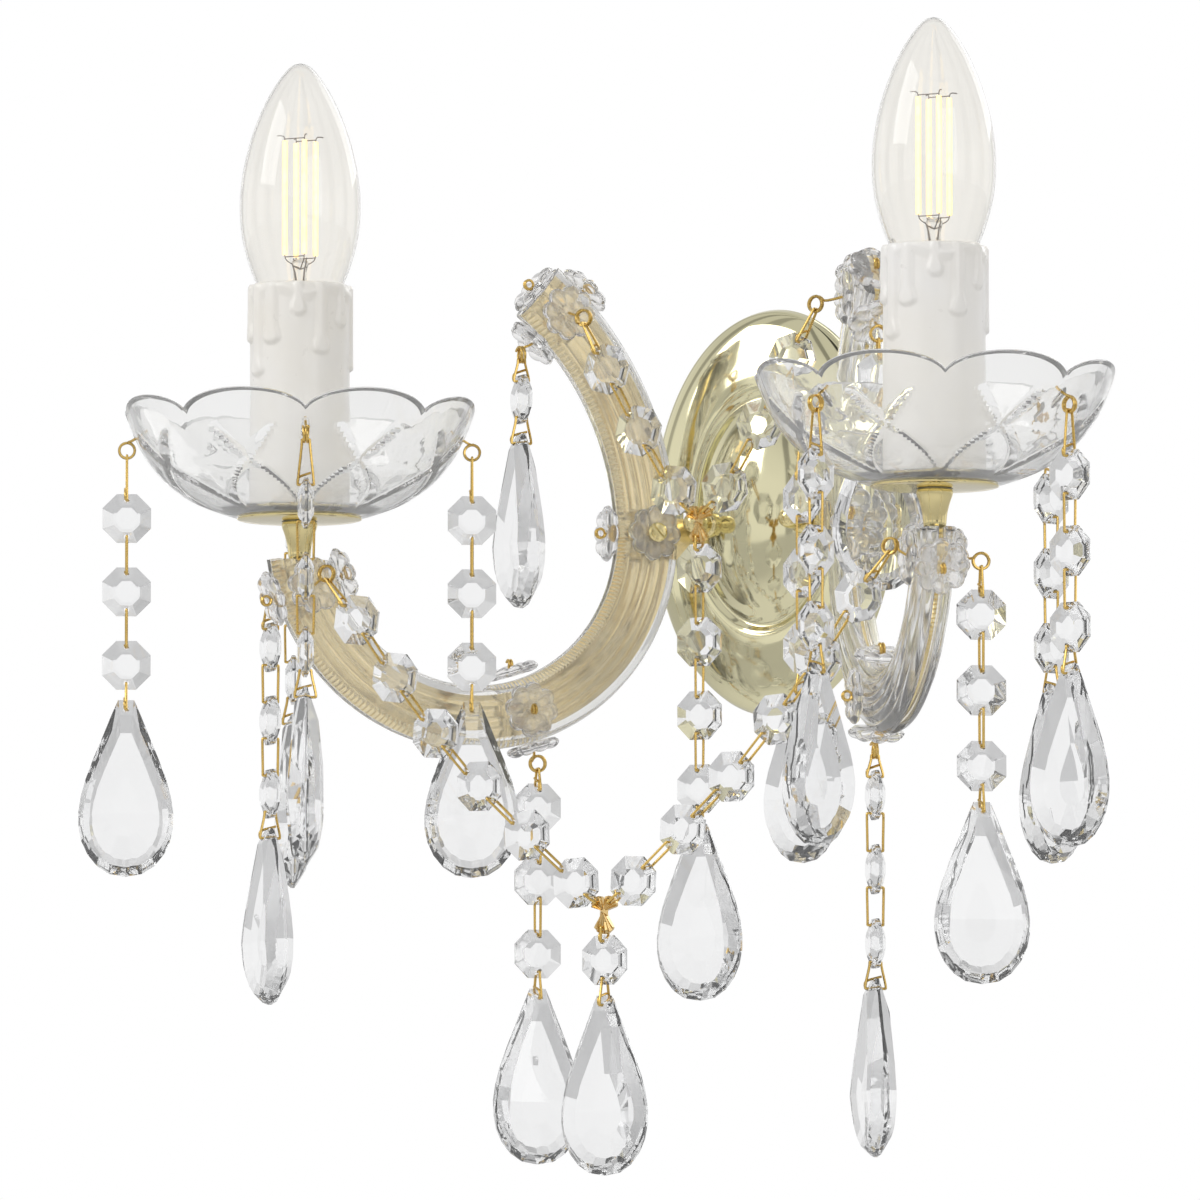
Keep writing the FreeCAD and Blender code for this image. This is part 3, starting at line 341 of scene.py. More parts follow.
def wire(name, points, radius=WIRE, order=3, resolution=3):
    """Round wire along a smooth line of points in millimetres."""
    line = bpy.data.curves.new(name, "CURVE")
    line.dimensions = "3D"
    line.bevel_depth = radius * MM
    line.bevel_resolution = 1
    line.use_fill_caps = True
    line.resolution_u = resolution
    spline = line.splines.new("NURBS")
    spline.points.add(len(points) - 1)
    for point, place in zip(spline.points, points):
        point.co = (*(Vector(place) * MM), 1)
    spline.order_u = order
    spline.use_endpoint_u = True
    piece = bpy.data.objects.new(name, line)
    bpy.context.collection.objects.link(piece)
    activate(piece)
    bpy.ops.object.convert(target="MESH")
    piece = bpy.context.view_layer.objects.active
    return smooth(mended(piece), 60)


def dressed(piece, body, finish, *nodes, slot=None):
    """Give a finished piece its body and its material, and hide the CAD nodes it stands for. The slot
    argument is not used.
    """
    piece.data.materials.clear()
    piece.data.materials.append(finish)
    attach(piece, body)
    if nodes:
        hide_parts(*nodes)
    return piece


# ------------------------------------------------------------------ places read from the frame
def solids_of(node):
    """The separate solids of a CAD node, each as an array of its corners in millimetres."""
    mesh = frame["nodes"][node].data
    number = {}
    places = [tuple(round(c * 1000, 3) for c in v.co) for v in mesh.vertices]
    index = [number.setdefault(place, len(number)) for place in places]
    leader = list(range(len(number)))

    def top(i):
        while leader[i] != i:
            leader[i] = leader[leader[i]]
            i = leader[i]
        return i

    for face in mesh.polygons:
        first, *rest = [top(index[v]) for v in face.vertices]
        for other in rest:
            leader[top(other)] = top(first)
    groups = {}
    for place, i in number.items():
        groups.setdefault(top(i), []).append(place)
    return [np.array(group) for group in groups.values()]


def axes_of(corners):
    """Middle of a solid and its axes, the shortest first."""
    middle = corners.mean(0)
    axes = np.linalg.eigh(np.cov((corners - middle).T))[1]
    return Vector(middle), [Vector(axes[:, i]) for i in range(3)]


def hinge_of(body):
    """Hinge point and hinge axis of a hanging body, in millimetres."""
    joint = next(j for j in frame["joints"] if j["child"] == body)
    return Vector(joint["pos_m"]) * 1000, Vector(joint["axis"])


def arm_vector(along, across, up=0.0):
    return Vector((along * math.sin(SPLAY) + across * math.cos(SPLAY),
                   -along * math.cos(SPLAY) + across * math.sin(SPLAY), up))


def arm_point(along, across, up):
    """A point of the right arm's own frame, in the frame of the whole sconce."""
    return arm_vector(along, across, up) + Vector((*ARM_ROOT, 0))


def hook_frames(bow_steps, curl_steps):
    """Middle and outward direction, in the arm's plane, at each station of the hook."""
    frames = []
    last = 360 - END_ANGLE + 6     # a little past the end, to be cut off level
    for i in range(bow_steps + 1):
        turn = math.radians(last + (180 - last) * i / bow_steps)
        way = (math.cos(turn), math.sin(turn))
        frames.append(((BOW_X + BOW_RADIUS * way[0], BOW_LEVEL + BOW_RADIUS * way[1]), way))
    for i in range(1, curl_steps + 1):
        turn = math.radians(CURL_ANGLE * i / curl_steps)
        way = (-math.cos(turn), math.sin(turn))
        frames.append(((CURL_X + CURL_RADIUS * way[0], BOW_LEVEL + CURL_RADIUS * way[1]), way))
    return frames


def hook_sweep(name, sections):
    """Carry a section, a list of (outwards, across) for each station, along the hook of an arm."""
    points = []
    faces = []
    for ((x, z), (wx, wz)), section in sections:
        for out, across in section:
            points.append(arm_point(x + out * wx, across, z + out * wz))
    count = len(sections[0][1])
    for i in range(len(sections) - 1):
        for j in range(count):
            k = (j + 1) % count
            faces.append((i * count + j, i * count + k, (i + 1) * count + k, (i + 1) * count + j))
    faces.append(tuple(range(count))[::-1])
    faces.append(tuple(range(len(points) - count, len(points))))
    piece = drawn(name, points, faces=faces)
    edit(piece)
    bpy.ops.mesh.bisect(plane_co=(0, 0, ARM_END * MM), plane_no=(0, 0, 1))
    leave_edit()
    # What stands above the cut is deleted at the candle, and stays elsewhere.
    candle = arm_point(REACH, 0, 0) * MM
    work = bmesh.new()
    work.from_mesh(piece.data)
    middles = [(face, face.calc_center_median()) for face in work.faces]
    away = [face for face, middle in middles
            if (middle - candle).xy.length < 20 * MM and middle.z > ARM_END * MM]
    bmesh.ops.delete(work, geom=away, context="FACES")
    rim = [e for e in work.edges if e.is_boundary]
    bmesh.ops.holes_fill(work, edges=rim)
    work.to_mesh(piece.data)
    work.free()
    return mended(piece)


def mirrored(piece, name):
    """A copy of a piece of the right side, for the left side."""
    other = piece.copy()
    other.data = piece.data.copy()
    other.name = name
    bpy.context.collection.objects.link(other)
    return moved(other, Matrix.Scale(-1, 4, (1, 0, 0)))


# ------------------------------------------------------------------ shader expressions
class Value:
    """A shader socket that takes part in Python expressions."""

    def __init__(self, finish, socket):
        self.finish = finish
        self.socket = socket

    def _math(self, operation, first, second):
        return self.finish.node("ShaderNodeMath", {"operation": operation}, {0: first, 1: second})

    def __add__(self, other):
        return self._math("ADD", self, other)

    def __sub__(self, other):
        return self._math("SUBTRACT", self, other)

    def __rsub__(self, other):
        return self._math("SUBTRACT", other, self)

    def __mul__(self, other):
        return self._math("MULTIPLY", self, other)

    __radd__ = __add__
    __rmul__ = __mul__


class Finish:
    """Builds the node tree of a material or of the world."""

    def __init__(self, owner):
        owner.use_nodes = True
        self.tree = owner.node_tree
        self.tree.nodes.clear()

    def node(self, kind, settings=None, inputs=None, output=0):
        made = self.tree.nodes.new(kind)
        for key, value in (settings or {}).items():
            setattr(made, key, value)
        for key, value in (inputs or {}).items():
            self.link(value, made.inputs[key])
        return Value(self, made.outputs[output])

    def link(self, value, socket):
        if isinstance(value, Value):
            self.tree.links.new(value.socket, socket)
        elif value is not None:
            if socket.type == "RGBA" and len(value) == 3:
                value = (*value, 1)
            socket.default_value = value

    def noise(self, scale, detail=2.0):
        """Noise in the piece's own space, so many cells to the metre."""
        place = self.node("ShaderNodeTexCoord", output="Object")
        return self.node("ShaderNodeTexNoise", None, {"Vector": place, "Scale": scale, "Detail": detail})

    def span(self, value, low, high, new_low=0.0, new_high=1.0):
        return self.node("ShaderNodeMapRange", None,
                         {"Value": value, 1: low, 2: high, 3: new_low, 4: new_high})

    def mix(self, factor, first, second):
        return self.node("ShaderNodeMix", {"data_type": "RGBA"}, {0: factor, 6: first, 7: second}, 2)

    def bump(self, height, strength, distance):
        return self.node("ShaderNodeBump", None,
                         {"Height": height, "Strength": strength, "Distance": distance})

    def surface(self, **inputs):
        names = {}
        for key, value in inputs.items():
            names[key.replace("_", " ").title().replace("Ior", "IOR")] = value
        return self.node("ShaderNodeBsdfPrincipled", None, names)

    def output(self, shader, kind="ShaderNodeOutputMaterial"):
        end = self.tree.nodes.new(kind)
        self.tree.links.new(shader.socket, end.inputs["Surface"])


FINISHES = {}
# Darker upright strips that the metal and the glass reflect: heading, half width and depth.
REFLECTED_STRIPS = ((-40, 12, 0.92), (-86, 5, 0.55), (-128, 8, 0.4), (5, 8, 0.55), (40, 6, 0.4),
                    (80, 6, 0.35), (152, 7, 0.35), (-162, 8, 0.45))


def finish(name):
    """The finish of that name, built once."""
    if name not in FINISHES:
        material = bpy.data.materials.new(name)
        BUILDERS[name](Finish(material), bpy.context.scene.sconce_colours)
        FINISHES[name] = material
    return FINISHES[name]


def metal(tree, colour, roughness, wear, grain, wave):
    """Polished metal with faint clouding, a spread of roughness and fine marks."""
    cloud = tree.noise(40.0, 3.0)
    marks = tree.noise(grain * 10, 4.0)
    dark = tuple(c * (1 - 2 * wear) for c in colour)
    tint = tree.mix(tree.span(cloud, 0.3, 0.7), colour, dark)
    rough = tree.span(marks, 0.3, 0.8, roughness * 0.7, roughness * 1.6)
    height = tree.noise(grain, 2.0) * wave + marks * 0.04
    tree.output(tree.surface(base_color=tint, metallic=1.0, roughness=rough,
                             normal=tree.bump(height, 0.25, 0.0004)))


def glass(tree, colour, ior, wave, scale, haze=0.03, clear=0.97):
    """Clear glass that lets light through to what it shades, with moulding waves and a haze."""
    cloud = tree.noise(55.0, 3.0)
    deep = tuple(c * 0.985 for c in colour)
    tint = tree.mix(tree.span(cloud, 0.35, 0.65), colour, deep)
    rough = tree.span(tree.noise(700.0, 3.0), 0.55, 0.85, 0.0, haze)
    height = tree.noise(scale, 1.5) * wave + tree.noise(900.0, 2.0) * 0.002
    body = tree.surface(base_color=tint, transmission_weight=clear, ior=ior, roughness=rough,
                        normal=tree.bump(height, 0.3, 0.001))
    open_way = tree.node("ShaderNodeBsdfTransparent", None, {"Color": tuple(c * 0.96 for c in colour)})
    shade = tree.node("ShaderNodeLightPath", output="Is Shadow Ray")
    tree.output(tree.node("ShaderNodeMixShader", None, {0: shade, 1: body, 2: open_way}))


def plastic(tree, colour, roughness, coat, wave):
    """Moulded plastic with a soft sheen and a slight unevenness."""
    cloud = tree.noise(28.0, 3.0)
    warm = (colour[0] * 0.97, colour[1] * 0.95, colour[2] * 0.9)
    tint = tree.mix(tree.span(cloud, 0.35, 0.7), colour, warm)
    rough = tree.span(tree.noise(300.0, 3.0), 0.3, 0.7, roughness * 0.8, roughness * 1.25)
    height = tree.noise(60.0, 2.0) * wave
    tree.output(tree.surface(base_color=tint, roughness=rough, coat_weight=coat, coat_roughness=0.12,
                             normal=tree.bump(height, 0.3, 0.0005)))


def glow(tree, colour, strength):
    """Lit filament, brighter along its core."""
    grain = tree.span(tree.noise(400.0, 2.0), 0.3, 0.7, 0.0, 0.25)
    edge = tree.node("ShaderNodeLayerWeight", None, {"Blend": 0.35}, "Facing")
    tint = tree.mix(edge + grain, (1.0, 0.88, 0.50), colour)
    tree.output(tree.surface(base_color=(0.9, 0.7, 0.3), roughness=0.5, emission_color=tint,
                             emission_strength=strength))


BUILDERS = {
    "plate_brass": lambda t, c: metal(t, tuple(c.plate), 0.07, 0.03, 14.0, 0.3),
    "brass": lambda t, c: metal(t, tuple(c.brass), 0.12, 0.06, 60.0, 0.1),
    "strip_brass": lambda t, c: metal(t, (0.94, 0.79, 0.46), 0.18, 0.04, 30.0, 0.02),
    "gold_wire": lambda t, c: metal(t, tuple(c.wire), 0.24, 0.12, 200.0, 0.2),
    "spacer_brass": lambda t, c: metal(t, (0.86, 0.62, 0.28), 0.22, 0.12, 150.0, 0.2),
    "zinc_steel": lambda t, c: metal(t, (0.62, 0.63, 0.65), 0.34, 0.12, 90.0, 0.3),
    "dark_wire": lambda t, c: metal(t, (0.25, 0.22, 0.20), 0.4, 0.1, 90.0, 0.1),
    "crystal_glass": lambda t, c: glass(t, tuple(c.crystal), 1.52, 0.15, 40.0),
    "arm_glass": lambda t, c: glass(t, (0.99, 0.99, 0.985), 1.46, 0.08, 40.0, 0.01, 0.94),
    "pressed_glass": lambda t, c: glass(t, (0.99, 0.99, 0.985), 1.46, 0.5, 90.0, 0.03, 0.9),
    "rosette_glass": lambda t, c: glass(t, (0.985, 0.98, 0.975), 1.46, 0.4, 160.0, 0.03, 0.93),
    "bulb_glass": lambda t, c: glass(t, (0.995, 0.985, 0.96), 1.45, 0.03, 30.0, 0.01, 0.97),
    "ivory_plastic": lambda t, c: plastic(t, tuple(c.candle), 0.34, 0.35, 0.5),
    "white_plastic": lambda t, c: plastic(t, (0.78, 0.78, 0.76), 0.45, 0.1, 0.3),
    "filament": lambda t, c: glow(t, (1.0, 0.50, 0.08), 1.35),
}


# ------------------------------------------------------------------ wall plate and fixings
class SCONCE_OT_plate(bpy.types.Operator):
    """Pressed oval wall plate and its cap nuts"""
    bl_idname = "sconce.plate"
    bl_label = "Wall plate"

    def execute(self, context):
        low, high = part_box("wall_plate")
        half_width = high.x / MM
        half_height = high.z / MM
        rise = -low.y / MM
        outer = curve_through([(half_width, 0.0), (half_width - 0.9, 3.0), (half_width - 4, 5.7),
                               (half_width - 9, 7.35), (26.6, 8.1)], 6)
        outer += [(25.0, 8.28), (24.0, 8.3), (23.2, 7.9), (22.6, 7.1), (22.2, 6.85), (21.6, 7.0)]
        outer += curve_through([(20.4, 8.1), (18, 10.1), (14, 12.2), (9, 13.6), (4, 14.25), (0, rise)], 5)
        plate = turned("plate", outer, 160)
        modified(plate, "SOLIDIFY", thickness=0.8 * MM, offset=-1, use_rim=True)
        edit(plate)
        bpy.ops.transform.resize(value=(1, half_height / half_width, 1), center_override=(0, 0, 0))
        leave_edit()
        moved(plate, Matrix.Rotation(math.radians(90), 4, "X"))
        for vertex in plate.data.vertices:
            vertex.co.y = min(vertex.co.y, 0.0)
        smooth(mended(plate), 50)
        slots = []
        for side in SIDES.values():
            bpy.ops.mesh.primitive_cube_add(size=1)
            cutter = bpy.context.object
            turn = Matrix.Rotation(SPLAY - math.pi / 2, 4, "Z")
            size = Matrix.Diagonal((*(length * MM for length in SLOT), 1))
            moved(cutter, at(*ARM_ROOT, 0) @ turn @ at(-9, 0, -9) @ size)
            if side < 0:
                moved(cutter, Matrix.Scale(-1, 4, (1, 0, 0)))
            slots.append(cutter)
        cut_away(plate, *slots)
        dressed(plate, ROOT, finish("plate_brass"), "wall_plate", slot="plate_brass")

        nuts = []
        for corners in solids_of("plate_cap_nuts"):
            tip = corners[:, 1].min()
            seat = corners[:, 1].max()
            middle = axes_of(corners)[0]
            length = seat - tip
            profile = [(2.0, 0), (3.7, 0), (3.7, length - 10.6), (3.2, length - 10.0), (2.6, length - 9.6),
                       (2.45, length - 8.6), (2.9, length - 7.6), (2.95, length - 3.4),
                       (2.6, length - 1.4), (1.7, length - 0.35), (0, length)]
            nut = turned("nut", profile, 40)
            moved(nut, Matrix.Rotation(math.radians(90), 4, "X"))
            nuts.append((nut, at(middle.x, seat, -4.0)))
        piece = smooth(gathered("cap_nuts", nuts), 40)
        removed(*[nut for nut, _ in nuts])
        dressed(piece, ROOT, finish("brass"), "plate_cap_nuts", slot="brass")
        return {"FINISHED"}


class SCONCE_OT_fixings(bpy.types.Operator):
    """Finishes of the bracket, yoke, studs and terminal block"""
    bl_idname = "sconce.fixings"
    bl_label = "Fixings"

    def execute(self, context):
        for node, name in (("wall_bracket", "zinc_steel"), ("arm_yoke", "zinc_steel"),
                           ("plate_studs", "zinc_steel"), ("terminal_block", "white_plastic")):
            mesh = frame["nodes"][node].data
            mesh.materials.clear()
            mesh.materials.append(finish(name))
        return {"FINISHED"}


# ------------------------------------------------------------------ arms
def on_both_arms(right, name, finish_name, node, slot):
    """Dress a piece of the right arm and its mirror image on the left one."""
    for side, piece in (("right", right), ("left", mirrored(right, "left" + name))):
        dressed(piece, ROOT, finish(finish_name), side + node, slot=slot)


class SCONCE_OT_arms(bpy.types.Operator):
    """Ribbed glass half rounds and the brass strip between them"""
    bl_idname = "sconce.arms"
    bl_label = "Arms"

    def execute(self, context):
        section = [(-GLASS_HALF, GLASS_SEAT)]
        steps = 48
        for i in range(1, steps):
            share = -math.cos(math.pi * i / steps)
            crown = GLASS_CROWN * math.sqrt(1 - share ** 2)
            rib = RIB_DEPTH * abs(math.sin(math.pi * RIBS * (share + 1))) ** 0.6
            section.append((GLASS_HALF * share, GLASS_SEAT + max(0.3, crown - 0.8 + rib)))
        section.append((GLASS_HALF, GLASS_SEAT))
        stations = [(spot, section) for spot in hook_frames(76, 22)]
        outer = smooth(hook_sweep("glass", stations), 40)
        inner = outer.copy()
        inner.data = outer.data.copy()
        bpy.context.collection.objects.link(inner)
        root = Vector((*ARM_ROOT, 0)) * MM
        across = arm_vector(0, 1)
        flip = Matrix.Translation(root) @ Matrix.Scale(-1, 4, across) @ Matrix.Translation(-root)
        moved(inner, flip)
        right = gathered("right_arm_glass_ribbed", [(outer, Matrix()), (inner, Matrix())])
        removed(outer, inner)
        on_both_arms(right, "_arm_glass_ribbed", "arm_glass", "_arm_glass", "arm_glass")

        stations = []
        for i, spot in enumerate(hook_frames(250, 90)):
            edge = STRIP_EDGES[i % 2]
            stations.append((spot, [(-edge, -STRIP_FACE), (edge, -STRIP_FACE), (edge, STRIP_FACE),
                                    (-edge, STRIP_FACE)]))
        strip = hook_sweep("right_arm_strip_brass", stations)
        lug = []
        for x in LUG:
            for z in (BOW_LEVEL - LUG_HALF, BOW_LEVEL + LUG_HALF):
                for y in (-STRIP_FACE, STRIP_FACE):
                    lug.append(arm_point(x, y, z))
        sides = [(0, 1, 3, 2), (4, 6, 7, 5), (0, 4, 5, 1), (2, 3, 7, 6), (0, 2, 6, 4), (1, 5, 7, 3)]
        bar = mended(drawn("lug", lug, faces=sides))
        right = smooth(gathered("right_arm_strip_brass", [(strip, Matrix()), (bar, Matrix())]), 30)
        removed(strip, bar)
        on_both_arms(right, "_arm_strip_brass", "strip_brass", "_arm_strip", "brass")
        return {"FINISHED"}


# ------------------------------------------------------------------ candles
def candle_axis(side):
    spot = arm_point(REACH, 0, 0)
    return Vector((side * spot.x, spot.y, 0))


# Wax runs of a sleeve: heading, level of the lower end and width.
WAX_RUNS = ((-95, 44, 2.1), (-62, 52, 1.6), (-118, 35, 2.3), (-35, 41, 2.0), (-5, 49, 1.7), (30, 37, 2.2),
            (62, 50, 1.7), (95, 43, 2.0), (128, 47, 1.6), (160, 36, 2.3), (195, 51, 1.7), (222, 45, 2.0))


def on_candles(name, model, finish_name, node, slot):
    """Copies of a turned model at both candles, as one piece."""
    piece = gathered(name, [(model, at(*candle_axis(side))) for side in SIDES.values()])
    removed(model)
    return dressed(piece, ROOT, finish(finish_name), node, slot=slot)


def wax_bulge(turn, level, lip):
    """How far a wax run stands out from a candle sleeve, in millimetres."""
    stand = 0.0
    for heading, foot, width in WAX_RUNS:
        away = math.radians((math.degrees(turn) - heading + 180) % 360 - 180) * 15.0
        swell = 1.0 + 0.45 * math.exp(-((level - foot - 2.0) / 2.6) ** 2)
        reach = away / (width * swell)
        under = (level - foot) / 1.8
        if under < 1:
            reach = math.hypot(reach, 1 - under) if under > 0 else 9
        if abs(reach) < 1:
            stand = max(stand, 0.95 * swell * (1 - reach * reach) ** 0.6)
    ring = max(0.0, 1 - abs((level - lip + 2.2 + 1.1 * math.sin(5 * turn)) / 2.6))
    return max(stand, 0.7 * ring)


class SCONCE_OT_candles(bpy.types.Operator):
    """Ferrules, brass discs, tubes, lampholders and wax run sleeves"""
    bl_idname = "sconce.candles"
    bl_label = "Candles"

    def execute(self, context):
        profile = [(1.6, -17.5), (2.7, -17.5), (3.1, -16.9), (3.3, -16.0)]
        profile += curve_through([(3.3, -15.6), (3.6, -13.0), (4.3, -10.2), (5.0, -8.2), (5.2, -7.3)], 5)
        profile += [(5.0, -6.6), (4.6, -6.25), (1.6, -6.25)]
        ferrule = smooth(turned("ferrule", profile, 56, True), 40)
        on_candles("ferrules", ferrule, "brass", "arm_ferrules", "brass")
        profile = [(5.15, -6.2), (14.0, -6.12), (17.2, -5.95), (17.9, -5.75), (18.0, -5.5), (17.8, -5.2),
                   (17.0, -5.02), (5.15, -5.02)]
        disc = smooth(turned("disc", profile, 96, True), 30)
        on_candles("discs", disc, "brass", "drip_pan_discs", "brass")
        thread = [(4.95 if i % 2 else 4.6, -6.1 + i * 0.17) for i in range(24)]
        profile = [(3.4, -6.2), *thread, (5.0, -2.0), (8.0, -1.99), (8.0, -0.2), (7.8, -0.02), (3.4, -0.02)]
        tube = smooth(turned("tube", profile, 40, True), 30)
        on_candles("tubes", tube, "zinc_steel", "candle_tubes", "zinc_steel")
        profile = [(3.4, 0.02), (12.4, 0.02), (12.6, 0.3), (12.6, 30.0), (11.8, 31.0), (11.8, 45.6),
                   (11.4, 46.0), (7.2, 46.0), (7.2, 19.0), (3.4, 19.0)]
        holder = smooth(turned("holder", profile, 48, True), 30)
        on_candles("holders", holder, "white_plastic", "lampholders", "white_plastic")

        low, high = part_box("candle_sleeves")
        foot = low.z / MM
        lip = high.z / MM
        wall = [(SLEEVE_BORE, foot), (SLEEVE_WALL, foot)]
        wall += [(SLEEVE_WALL, foot + (lip - 0.9 - foot) * i / 110) for i in range(1, 111)]
        wall += [(14.1, lip - 0.25), (13.9, lip), (13.5, lip - 0.1), (SLEEVE_BORE, lip - 0.5),
                 (SLEEVE_BORE, 46.5)]
        sleeve = turned("sleeve", wall, 180, True)
        for vertex in sleeve.data.vertices:
            x, y, z = vertex.co / MM
            radius = math.hypot(x, y)
            if radius > 13.7:
                stand = min(1.0, wax_bulge(math.atan2(y, x), z, lip))
                for axis in (0, 1):
                    vertex.co[axis] *= (radius + stand) / radius
        on_candles("sleeves", smooth(sleeve, 70), "ivory_plastic", "candle_sleeves", "ivory_plastic")
        return {"FINISHED"}


# ------------------------------------------------------------------ drip pans
PAN_CURVE = curve_through([(19.0, PAN_FOOT), (22.5, -3.9), (30.2, -0.8), (38.0, 4.4), (44.6, 12.2),
                           (48.3, 19.4), (51.4, 28.0)], 8)


def pan_radius(level, curve):
    return float(np.interp(level, [z for r, z in curve], [r for r, z in curve]))


def cut_depth(turn, level, radius):
    """Depth of the leaf cuts and the long crossing cuts of a drip pan, in millimetres."""
    step = math.pi / SCALLOPS
    away = abs((turn % (2 * step)) - step)
    depth = 0.0
    low, high = LEAF_CUT
    if low < level < high:
        share = (level - low) / (high - low)
        width = 0.5 + 1.5 * math.sin(math.pi * min(1.0, share * 1.05)) ** 0.8
        reach = radius * abs(away - math.radians(12.5) * share) / width
        if reach < 1:
            depth = (1 - reach) * CUT_DEPTH * math.sin(math.pi * (0.1 + 0.85 * share)) ** 0.5
    low, high = CROSS_CUT
    if low < level <= high:
        share = (high - level) / (high - low)
        reach = radius * abs(away - step * share ** 0.9) / 1.2
        if reach < 1:
            cross = (1 - reach) * CUT_DEPTH * math.sin(math.pi * (0.12 + 0.8 * share)) ** 0.5
            depth = max(depth, cross)
    return depth


def make_drip_pan(name, heading):
    """Scalloped pressed glass bowl with crossing cuts under each scallop."""
    turns = 256
    inner = [(r - 1.3 if r < 40 else r - 2.1, z + 2.3) for r, z in PAN_CURVE]
    inner = [(19.0, PAN_FLOOR)] + inner[6:]
    levels = 44
    points = []
    for i in range(turns):
        turn = 2 * math.pi * i / turns
        mid = abs((turn % (2 * math.pi / SCALLOPS)) / (math.pi / SCALLOPS) - 1)
        dip = SCALLOP_DIP * (1 - math.sqrt(1 - 0.93 * mid * mid)) / (1 - math.sqrt(0.07))
        rim = PAN_RIM - dip
        line = [(PAN_BORE, PAN_FLOOR), (PAN_BORE, PAN_FOOT), (12.0, PAN_FOOT)]
        for j in range(levels + 1):
            level = PAN_FOOT + (rim - PAN_FOOT) * (j / levels)
            radius = pan_radius(level, PAN_CURVE)
            line.append((radius - cut_depth(turn, level, radius), level))
        wall = line[-1][0]
        line += [(wall - 0.35, rim + 0.35), (wall - 1.1, rim + 0.45), (wall - 1.7, rim + 0.3)]
        for j in range(20, -1, -1):
            level = PAN_FLOOR + (rim - 0.3 - PAN_FLOOR) * j / 20
            line.append((min(wall - 2.0, pan_radius(level, inner)), level))
        line.append((12.0, PAN_FLOOR))
        points += [(r * math.cos(turn), r * math.sin(turn), z) for r, z in line]
    count = len(points) // turns
    faces = []
    for i in range(turns):
        k = (i + 1) % turns
        for j in range(count):
            m = (j + 1) % count
            faces.append((i * count + j, k * count + j, k * count + m, i * count + m))
    pan = mended(drawn(name, points, faces=faces))
    cutters = []
    for i in range(4):
        bpy.ops.mesh.primitive_cylinder_add(vertices=14, radius=1.2 * MM, depth=14 * MM)
        cutter = bpy.context.object
        lean = at(PAN_HOLE[0], 0, PAN_HOLE[1]) @ Matrix.Rotation(PAN_HOLE_LEAN, 4, "Y")
        moved(cutter, Matrix.Rotation(math.pi / 2 * i, 4, "Z") @ lean)
        cutters.append(cutter)
    cut_away(pan, *cutters)
    moved(pan, Matrix.Rotation(math.radians(heading - 90), 4, "Z"))
    return smooth(pan, 32)


class SCONCE_OT_drip_pans(bpy.types.Operator):
    """Scalloped glass drip pans"""
    bl_idname = "sconce.drip_pans"
    bl_label = "Drip pans"

    def execute(self, context):
        for name, side in SIDES.items():
            way = hinge_of(name + "_pan_strand_1")[0] - candle_axis(side)
            heading = math.degrees(math.atan2(way.y, way.x)) + 90
            pan = make_drip_pan(name + "_pan", heading)
            moved(pan, at(*candle_axis(side)))
            dressed(pan, ROOT, finish("pressed_glass"), name + "_drip_pan", slot="pressed_glass")
        return {"FINISHED"}


